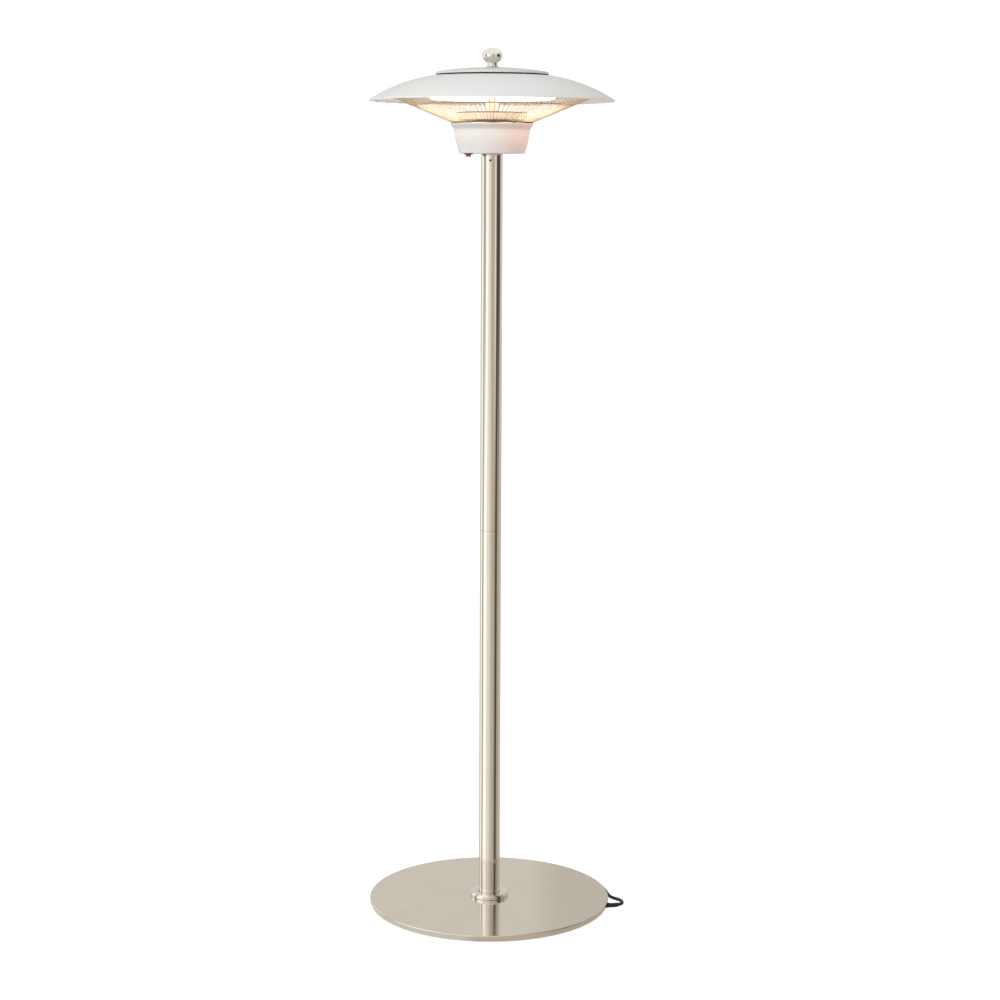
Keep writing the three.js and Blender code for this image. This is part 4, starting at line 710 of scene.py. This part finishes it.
SWITCH_X, SWITCH_Y = -56.6, -18
window = (SWITCH_X - 9.8, SWITCH_Y - 13.8, CUP_Z - 3), (SWITCH_X + 9.8, SWITCH_Y + 13.8, CUP_Z + 5)
cut_away(cup, block("window", *window))
seat(cup, ["cup_housing"], shaded_cup_white)

# Painted shade: a near-black finish put where shade falls, on the lid's top face under the heat shield and inside the
# vent cap.
painted_shade_dark = moulded("painted_shade_dark", (0.022, 0.018, 0.015), 0.8, grain=500, depth=0.05, shade=0.4)
aluminium = metal("bright_aluminium", (0.88, 0.865, 0.83), (0.95, 0.935, 0.9), 0.42, 0.06, (4, 70, 70), 0.01)
LID_FACE_Z = 1918.5
lid_outline = eased(
    [
        (4.4, 1917.7), (87.2, 1917.7), (87.2, 1901),
        (89.2, 1901), (89.2, 1917.7), (99.4, 1917.7, 0.3),
        (99.4, 1919.2, 0.5), (97, 1919.2), (4.4, 1919.2),
    ]
)
lid = turned("lid_plate", lid_outline, steps=144)
seat(lid, ["cup_lid"], aluminium)
# The lid's top face under the heat shield is painted near-black as painted shade.
lid.data.materials.append(painted_shade_dark)
for face in lid.data.polygons:
    if face.center.z > LID_FACE_Z * MM and face.normal.z > 0.9 and face.center.xy.length < 98 * MM:
        face.material_index = 1
for name in ("head_spigot", "spigot_screw_1", "spigot_screw_2", "spigot_screw_3"):
    dress(name, zinc)

# ---- Switch ----
# A snap-in rocker switch in the cup's underside: a black frame with a red rocker on a pin.
black_plastic = moulded("black_plastic", (0.018, 0.018, 0.02), 0.42, grain=1200, depth=0.04, shade=0.3)
red_plastic = moulded("red_plastic", (0.5, 0.06, 0.03), 0.3, grain=1200, depth=0.02, shade=0.15, coat=0.3)
dress("switch_case", black_plastic)


def eased_block(name, outline, low, high, to_place, ease=0.5, steps=3):
    """A prism with eased edges on both ends, from an outline in its own plane."""
    middle = Vector((sum(x for x, y in outline), sum(y for x, y in outline))) / len(outline)
    half = max((Vector(p) - middle).length for p in outline)
    levels = []
    for k in range(steps + 1):
        angle = math.pi / 2 * k / steps
        levels.append((low + ease * (1 - math.sin(angle)), 1 - ease / half * (1 - math.cos(angle))))
    levels = levels[::-1]
    levels += [(low + high - place, grow) for place, grow in reversed(levels)]
    count, points = len(outline), []
    for place, grow in levels:
        for p in outline:
            x, y = middle + (Vector(p) - middle) * grow
            points.append(to_place @ Vector((x, y, place)))
    ends = [tuple(range(count)), tuple(range((len(levels) - 1) * count, len(levels) * count))]
    return solid_piece(name, points, bands(len(levels), count) + ends, 32)


# The rocker: two flats that meet in a dip, with its front end pressed in.
ROCKER_PIN = (SWITCH_X, SWITCH_Y, CUP_Z + 0.2)
ROCKER_TILT, ROCKER_HALF_WIDTH = 12, 6.5
ROCKER_PIN_RADIUS, ROCKER_PIN_HALF = 1.3, 7.9
rocker_side = eased(
    [(-10.7, -6.5, 0.8), (0, -3.8, 2.5), (10.7, -6.5, 0.8), (10.7, 0, 0.4), (5.35, 3), (-5.35, 3), (-10.7, 0, 0.4)], 5
)
to_rocker = Matrix.Translation(ROCKER_PIN) @ Matrix.Rotation(math.radians(ROCKER_TILT), 4, "X")
to_rocker = to_rocker @ Matrix(((0, 0, 1, 0), (1, 0, 0, 0), (0, 1, 0, 0), (0, 0, 0, 1)))
rocker = eased_block("rocker_cap", rocker_side, -ROCKER_HALF_WIDTH, ROCKER_HALF_WIDTH, to_rocker)
ends = -ROCKER_PIN_HALF, ROCKER_PIN_HALF
pin_outline = [(0, ends[0]), *((ROCKER_PIN_RADIUS, end, 0.2) for end in ends), (0, ends[1])]
pin = turned("rocker_pin", eased(pin_outline), steps=24, frame_of=to_rocker)
for piece in (rocker, pin):
    seat(piece, ["switch_rocker"], red_plastic, body="rocker")

# ---- Inside the cup ----
# A ceramic terminal block, a round tilt switch and the cable that comes up the pole to them.
ceramic = moulded("ceramic", (0.72, 0.69, 0.62), 0.7, grain=700, depth=0.12, shade=0.12)
dress("terminal_block", ceramic)
dress("tilt_switch", black_plastic)
dress("inner_cable", cord_finish)

# ---- Heat shield, column and reflector ----
# A shallow spun pan keeps the heat off the lid; its lip and the underside of its floor are painted
# dark brown as painted shade. A plated tube on a long bolt carries the wide reflector, which is
# folded out of bright sheet: flat in the middle and sloping down outside.
SHIELD_LIP_Z, SHIELD_FLOOR_RADIUS = 1943, 82
shield_line = [
    (15.3, 1926),
    *arc(82, 1928, 2, -90, 0, 5),
    (84, 1943.1),
    (84.4, 1944),
    (85.5, 1944.6),
]
shield = spun_sheet("shield_pan", shield_line, 1.0, steps=120)
seat(shield, ["heat_shield"], aluminium)
# Painted shade: a dark brown metal for the shield's lip and floor underside and for the guard's foot ring, where shade
# falls.
painted_shade_brown = metal("painted_shade_brown", (0.1, 0.06, 0.035), (0.2, 0.12, 0.07), 0.5, 0.1, (20, 40, 40))
shield.data.materials.append(painted_shade_brown)
for face in shield.data.polygons:
    height, reach = face.center.z / MM, face.center.xy.length / MM
    if height > SHIELD_LIP_Z or (reach < SHIELD_FLOOR_RADIUS and face.normal.z < 0):
        face.material_index = 1
COLUMN_BORE, COLUMN_RADIUS, COLUMN_FOOT, COLUMN_TOP = 13.5, 15, 1919.5, 2016.1
column_outline = [(COLUMN_BORE, COLUMN_FOOT), (COLUMN_RADIUS, COLUMN_FOOT)]
column_outline += [(COLUMN_RADIUS, COLUMN_TOP), (COLUMN_BORE, COLUMN_TOP)]
column = turned("column_tube", column_outline, steps=64)
seat(column, ["centre_tube"], aluminium)
reflector_line = [
    (261, 1991.9),
    (256, 1992.9),
    (190, 2004.6),
    *bend((121, 2016.9), (118, 2017.4), (114, 2017.4), 4),
    (60, 2017.4),
    (4.4, 2017.4),
]
reflector = spun_sheet("reflector_sheet", reflector_line, 1.0)
seat(reflector, ["reflector"], aluminium)
for name in ("shield_post_1", "shield_post_2", "shield_post_3", "centre_bolt", "hub_spacer"):
    dress(name, zinc)

# ---- Heating ring ----
# A quartz tube bent into a ring, with a glowing coil inside it. Its two ends sit in a ceramic
# block at the back, and three clips hang it from the reflector.
RING_RADIUS, RING_Z, RING_TUBE = 146, 1982.4, 6
RING_GAP = 5.46  # degrees from the back to each end
RING_GLOW = 2.0
ring_line = [
    Vector((x, y, RING_Z)) for x, y in arc(0, 0, RING_RADIUS, 90 + RING_GAP, 450 - RING_GAP, 144)
]
ring = swept("quartz_ring", ring_line, [RING_TUBE] * len(ring_line), sides=20)
quartz, tree, shader = finish_of("glowing_quartz", 0.12)
coil_marks = node(
    tree, "ShaderNodeGroup", {"node_tree": marks}, Round=60.0, Out=0.0, Along=0.0, Detail=1.0
).outputs["Fac"]
tree.links.new(
    tone_ramp(tree, coil_marks, (0.3, (1.0, 0.86, 0.7)), (0.7, (1.0, 0.95, 0.84))), shader.inputs["Emission Color"]
)
tree.links.new(
    tone_ramp(tree, coil_marks, (0.3, (0.9, 0.6, 0.35)), (0.7, (0.95, 0.85, 0.7))), shader.inputs["Base Color"]
)
shader.inputs["Emission Strength"].default_value = RING_GLOW
seat(ring, ["heating_ring"], quartz)
dress("ring_holder", ceramic)
for name in ("ring_clip_1", "ring_clip_2", "ring_clip_3"):
    dress(name, zinc)

# ---- Guard ----
# A cone of 104 straight wires welded to a foot ring and a top ring, with a middle ring tacked
# to the inside of the wires. The wires are bright plated; their tan colour is painted warm light
# from the ring, darkened as painted shade.
GUARD_WIRES, GUARD_WIRE = 104, 1.8
GUARD_FOOT, GUARD_TOP = (97, 1921.6), (258, 1988.0)
GUARD_MIDDLE = (189.5, 1962.9)


def joined_piece(name, bodies, sharp=50):
    """One mesh from several bodies, each a list of points and a list of faces."""
    points, faces = [], []
    for body_points, body_faces in bodies:
        start = len(points)
        points += body_points
        faces += [tuple(start + i for i in face) for face in body_faces]
    return solid_piece(name, points, faces, sharp)


def round_ring(radius, height, half, around=160, sides=10):
    """A ring of round wire as points and faces."""
    points, faces = [], []
    for i in range(around):
        turn = 2 * math.pi * i / around
        for k in range(sides):
            angle = 2 * math.pi * k / sides
            reach = radius + half * math.cos(angle)
            points.append((reach * math.cos(turn), reach * math.sin(turn), height + half * math.sin(angle)))
    for i in range(around):
        for k in range(sides):
            a, b, n = i * sides, ((i + 1) % around) * sides, (k + 1) % sides
            faces.append((a + k, a + n, b + n, b + k))
    return points, faces


def straight_wire(start, end, turn, half, sides=8):
    """A wire from one radius and height to another, at an angle round the axis."""
    points = []
    slope = math.atan2(end[1] - start[1], end[0] - start[0])
    for radius, height in (start, end):
        for k in range(sides):
            angle = 2 * math.pi * k / sides
            up = half * math.sin(angle)
            reach, across = radius - up * math.sin(slope), half * math.cos(angle)
            x = reach * math.cos(turn) - across * math.sin(turn)
            y = reach * math.sin(turn) + across * math.cos(turn)
            points.append((x, y, height + up * math.cos(slope)))
    return points, bands(2, sides) + [tuple(range(sides)), tuple(range(sides, 2 * sides))]


guard_bodies = [round_ring(*GUARD_TOP, 2)]
for k in range(GUARD_WIRES):
    guard_bodies.append(straight_wire(GUARD_FOOT, GUARD_TOP, 2 * math.pi * (k + 0.5) / GUARD_WIRES, GUARD_WIRE / 2))
guard = joined_piece("wire_guard", guard_bodies)
# Painted warm light and painted shade: the plated wire is coloured tan for the ring's glow on it, and darker so it
# shows against the glow.
guard_wire, tree, shader = finish_of("guard_wire", 0.4, 0.25)
painted_glow_tint = node(tree, "ShaderNodeTexNoise", Scale=60.0, Detail=3.0)
tree.links.new(
    tone_ramp(tree, painted_glow_tint.outputs["Fac"], (0.3, (0.56, 0.43, 0.31)), (0.7, (0.69, 0.55, 0.41))),
    shader.inputs["Base Color"],
)
bump(tree, shader, painted_glow_tint.outputs["Fac"], 0.02)
seat(guard, ["guard"], guard_wire)
# The foot ring is painted dark brown as painted shade.
foot_ring = joined_piece("guard_foot_ring", [round_ring(*GUARD_FOOT, 1.5)])
seat(foot_ring, ["guard"], painted_shade_brown)
middle_ring = joined_piece("guard_ring_middle", [round_ring(*GUARD_MIDDLE, 1.5)])
seat(middle_ring, ["guard_middle_ring"], guard_wire)

# ---- Shade ----
# Spun sheet, 590 mm across and painted white: a flat top with eight vents under the cap, a round
# shoulder and a short upright rim.
SHADE_TOP, SHADE_SHEET = 2031.5, 1.5
SHADE_RADIUS, SHADE_FLAT, SHADE_ARC, SHADE_ARC_START, SHADE_RIM_DROP = 295, 150, 380, 9.5, 3
VENT_INNER, VENT_OUTER, VENT_COUNT = 40, 62, 8
start_angle = math.radians(SHADE_ARC_START)
end_angle = math.asin(math.sin(start_angle) + (SHADE_RADIUS - SHADE_FLAT) / SHADE_ARC)
arc_x = SHADE_FLAT - SHADE_ARC * math.sin(start_angle)
arc_z = SHADE_TOP - SHADE_ARC * math.cos(start_angle)
shoulder = arc(arc_x, arc_z, SHADE_ARC, 90 - math.degrees(end_angle), 90 - SHADE_ARC_START, 20)
shade_line = [(SHADE_RADIUS, shoulder[0][1] - SHADE_RIM_DROP), (SHADE_RADIUS, shoulder[0][1] - 1)]
shade_line += [*shoulder, (120, SHADE_TOP), (VENT_OUTER, SHADE_TOP), (VENT_INNER, SHADE_TOP), (4.4, SHADE_TOP)]
vent_row = len(shade_line) - 3
SHADE_STEPS = 192
pitch_steps = SHADE_STEPS // VENT_COUNT


def is_vent(row, step):
    return row == vent_row and step % pitch_steps < pitch_steps * 2 / 3


shade = spun_sheet("spun_shade", shade_line, SHADE_SHEET, steps=SHADE_STEPS, skip=is_vent)
seat(shade, ["shade"], white_paint)

# ---- Vent cap ----
# A shallow spun dome on three posts over the vents, with a thick rolled edge and a dark gap to
# the shade under it. The gap's dark is painted shade: the cap's inside is near-black, and its
# white outside is a darker copy of the shade's paint, also as painted shade.
CAP_RADIUS, CAP_EDGE, CAP_EDGE_Z, CAP_DOME, CAP_TOP = 136.3, 6, 2036.2, 820, 2052.6
cap_line = [(CAP_RADIUS - 0.6, 2035.4), *arc(CAP_RADIUS - CAP_EDGE, CAP_EDGE_Z, CAP_EDGE, 0, 80, 7)]
for radius in (130, 110, 90, 60, 30, 4.4):
    cap_line.append((radius, CAP_TOP - (CAP_DOME - math.sqrt(CAP_DOME**2 - radius**2))))
# The inside takes the near-black painted shade, and the outside the darker painted-shade white.
cap = spun_sheet("spun_cap", cap_line, 1.5, inside=1)
seat(cap, ["vent_cap"], shaded_cap_white, inside=painted_shade_dark)
for name in ("cap_post_1", "cap_post_2", "cap_post_3"):
    dress(name, zinc)

# ---- Knob ----
# A polished ball nut on the end of the long bolt, with a foot disc and a waisted neck.
KNOB_FOOT, BALL_RADIUS, BALL_HALF_HEIGHT, BALL_CENTRE = 2052.9, 24.2, 19, 2080.5
knob_line = [(4.4, KNOB_FOOT), *eased([(15.6, KNOB_FOOT, 0.5), (15.6, KNOB_FOOT + 2, 0.8)]), (13.1, KNOB_FOOT + 2.4)]
knob_line += [(12.4, KNOB_FOOT + 4.6), (12.2, KNOB_FOOT + 8.5)]
for k in range(25):
    angle = math.radians(-58 + 148 * k / 24)
    knob_line.append((BALL_RADIUS * math.cos(angle), BALL_CENTRE + BALL_HALF_HEIGHT * math.sin(angle)))
knob_line[-1] = (0, BALL_CENTRE + BALL_HALF_HEIGHT)
knob_line += [(0, KNOB_FOOT + 20), (4.4, KNOB_FOOT + 20)]
knob = turned("ball_knob", knob_line, steps=96)
seat(knob, ["knob"], polished)

# ---- Studio ----
# A pale floor and a plain white surround. A graded screen, which only the metal sees, gives the
# steel the light and dark stripes of the room the heater stood in.
FLOOR_HALF = 40  # metres


def seen_plainly(tree):
    """1 for rays from the camera and for those that come by way of metal or glass."""
    path = node(tree, "ShaderNodeLightPath")
    plain = path.outputs["Is Camera Ray"]
    for way in ("Is Glossy Ray", "Is Transmission Ray"):
        plain = maths(tree, "MAXIMUM", plain, path.outputs[way])
    return plain


floor_mesh = bpy.data.meshes.new("floor")
floor_corners = [(x * FLOOR_HALF, y * FLOOR_HALF, 0) for x, y in ((-1, -1), (1, -1), (1, 1), (-1, 1))]
floor_mesh.from_pydata(floor_corners, [], [(0, 1, 2, 3)])
floor = bpy.data.objects.new("floor", floor_mesh)
floor.location.z = -0.0003
scene.collection.objects.link(floor)
floor_material = bpy.data.materials.new("pale_floor")
floor_material.use_nodes = True
tree = floor_material.node_tree
tree.nodes.clear()
lit = node(tree, "ShaderNodeBsdfDiffuse", Color=(0.8, 0.8, 0.8, 1))
dim = node(tree, "ShaderNodeBsdfDiffuse", Color=(0.3, 0.3, 0.3, 1))
glow = node(tree, "ShaderNodeEmission", Color=(1, 1, 1, 1), Strength=0.95)
plain = node(tree, "ShaderNodeAddShader", _0=dim.outputs[0], _1=glow.outputs[0])
mixed = node(tree, "ShaderNodeMixShader", _0=seen_plainly(tree), _1=lit.outputs[0], _2=plain.outputs[0])
node(tree, "ShaderNodeOutputMaterial", Surface=mixed.outputs[0])
floor_mesh.materials.append(floor_material)

world = bpy.data.worlds.new("studio")
world.use_nodes = True
tree = world.node_tree
tree.nodes.clear()
ambient = node(tree, "ShaderNodeBackground", Color=(1, 1, 1, 1), Strength=0.5)
white = node(tree, "ShaderNodeBackground", Color=(1, 1, 1, 1), Strength=1.04)
mixed = node(tree, "ShaderNodeMixShader", _0=seen_plainly(tree), _1=ambient.outputs[0], _2=white.outputs[0])
node(tree, "ShaderNodeOutputWorld", Surface=mixed.outputs[0])
scene.world = world

# The screen stands round the heater like the walls of a room, with a foot on the floor and a top
# over the knob. Its panels go round from the back by way of the left, the front and the right.
# Each ends at an angle from the front, in degrees, and blends into the next.
SCREEN_RADIUS, SCREEN_FOOT, SCREEN_LOW, SCREEN_HEIGHT = 0.62, 0.3, 0.0008, 2.6  # metres
SCREEN_STEPS = 144
PANEL_BLEND = 4  # degrees to each side
TONES = {
    "window": (1.2, 1.18, 1.13),
    "plaster": (0.86, 0.8, 0.73),
    "stone": (0.68, 0.64, 0.57),
    "flax": (0.585, 0.545, 0.48),
    "sage": (0.5, 0.48, 0.41),
    "wood": (0.54, 0.46, 0.38),
    "oak": (0.34, 0.28, 0.22),
    "doorway": (0.08, 0.076, 0.06),
    "carpet": (0.48, 0.42, 0.36),
}
UPPER_PANELS = [
    (-120, "stone"), (-96, "window"), (-62, "sage"),
    (-32, "window"), (-5, "plaster"), (34, "wood"),
    (51, "plaster"), (101, "doorway"), (180, "stone"),
]
LOWER_PANELS = [
    (-118, "stone"), (-98, "window"), (-80, "oak"),
    (-40, "window"), (-10, "plaster"), (8, "stone"),
    (40, "wood"), (50, "oak"), (74, "doorway"),
    (84, "wood"), (96, "oak"), (166, "flax"),
    (180, "stone"),
]
FLOOR_PANELS = [(-130, "carpet"), (-10, "stone"), (30, "wood"), (180, "carpet")]
TOP_TONE = (0.92, 0.9, 0.86)
FLOOR_EDGE = 0.35  # metres from the pole
screen_line = [(radius, SCREEN_LOW) for radius in (SCREEN_FOOT, FLOOR_EDGE, SCREEN_RADIUS)]
screen_line += [(SCREEN_RADIUS, SCREEN_HEIGHT), (0.001, SCREEN_HEIGHT)]
screen_points = []
for radius, height in screen_line:
    for k in range(SCREEN_STEPS):
        angle = 2 * math.pi * k / SCREEN_STEPS
        screen_points.append((radius * math.cos(angle), radius * math.sin(angle), height))
screen_mesh = bpy.data.meshes.new("screen")
screen_mesh.from_pydata(screen_points, [], bands(len(screen_line), SCREEN_STEPS))
screen = bpy.data.objects.new("screen", screen_mesh)
scene.collection.objects.link(screen)
screen.visible_camera = False
screen.visible_diffuse = False
screen.visible_shadow = False
screen.visible_transmission = False
screen_material = bpy.data.materials.new("graded_screen")
screen_material.use_nodes = True
tree = screen_material.node_tree
tree.nodes.clear()
spot = node(tree, "ShaderNodeSeparateXYZ", _0=node(tree, "ShaderNodeTexCoord").outputs["Object"])
turn = maths(tree, "ARCTAN2", spot.outputs["X"], maths(tree, "MULTIPLY", spot.outputs["Y"], -1.0))
share = maths(tree, "MULTIPLY_ADD", turn, 1 / (2 * math.pi), 0.5)


def panel_tones(panels):
    """A colour ramp round the screen with the tones of its panels."""
    stops = [(0.0, TONES[panels[0][1]])]
    for (end, tone), (_, following) in zip(panels, panels[1:]):
        stops.append(((end - PANEL_BLEND + 180) / 360, TONES[tone]))
        stops.append(((end + PANEL_BLEND + 180) / 360, TONES[following]))
    return tone_ramp(tree, share, *stops)


def smooth_share(value, low, high):
    """0 where a value is under one limit and 1 where it is over another."""
    made = node(tree, "ShaderNodeMapRange", {"interpolation_type": "SMOOTHSTEP"}, Value=value)
    made.inputs["From Min"].default_value, made.inputs["From Max"].default_value = low, high
    return made.outputs["Result"]


def blended(factor, first, second):
    return node(tree, "ShaderNodeMix", {"data_type": "RGBA"}, _0=factor, _6=first, _7=second).outputs[2]


flat_spot = node(tree, "ShaderNodeCombineXYZ", X=spot.outputs["X"], Y=spot.outputs["Y"])
reach = node(tree, "ShaderNodeVectorMath", {"operation": "LENGTH"}, _0=flat_spot.outputs[0]).outputs["Value"]
height = spot.outputs["Z"]
past_floor = smooth_share(reach, FLOOR_EDGE - 0.01, FLOOR_EDGE + 0.02)
tones = blended(past_floor, panel_tones(FLOOR_PANELS), panel_tones(LOWER_PANELS))
tones = blended(smooth_share(height, 0.8, 1.6), tones, panel_tones(UPPER_PANELS))
tones = blended(smooth_share(height, 2.15, SCREEN_HEIGHT - 0.01), tones, (*TOP_TONE, 1))
shine = node(tree, "ShaderNodeEmission", Color=tones, Strength=1.0)
node(tree, "ShaderNodeOutputMaterial", Surface=shine.outputs[0])
screen_mesh.materials.append(screen_material)

# Soft lamps: a wide one at the front left, a weak one at the right, a small warm one under the
# head at the front right, which tints the cup, and two discs inside the guard for the ring's
# glow. Each has a place, an aim, a power, a size, a spread in degrees and a colour.
LAMPS = {
    "front_left_lamp": ("SQUARE", (-3.2, -3.6, 3.3), (0, 0, 1.6), 152, 2.4, 180, (1, 1, 1)),
    "right_lamp": ("SQUARE", (3.0, -2.4, 4.4), (0, 0, 1.9), 42, 2.0, 180, (1, 1, 1)),
    "warm_lamp": ("SQUARE", (0.5, -0.22, 1.74), (0.05, -0.03, 1.88), 0.13, 0.12, 70, (1, 0.25, 0.06)),
    "glow_up": ("DISK", (0, 0, 1.957), (0, 0, 2.1), 3.0, 0.34, 180, (1, 0.95, 0.86)),
    "glow_down": ("DISK", (0, 0, 1.974), (0, 0, 1.8), 2.0, 0.34, 180, (1, 0.94, 0.84)),
}
for name, (shape, place, aim, power, size, spread, tint) in LAMPS.items():
    lamp = bpy.data.lights.new(name, "AREA")
    lamp.shape, lamp.size = shape, size
    lamp.energy, lamp.color = power, tint
    lamp.spread = math.radians(spread)
    holder = bpy.data.objects.new(name, lamp)
    holder.location = place
    holder.rotation_euler = (Vector(aim) - Vector(place)).to_track_quat("-Z", "Y").to_euler()
    holder.visible_glossy = False
    holder.visible_camera = False
    scene.collection.objects.link(holder)

scene.view_settings.view_transform = "Standard"
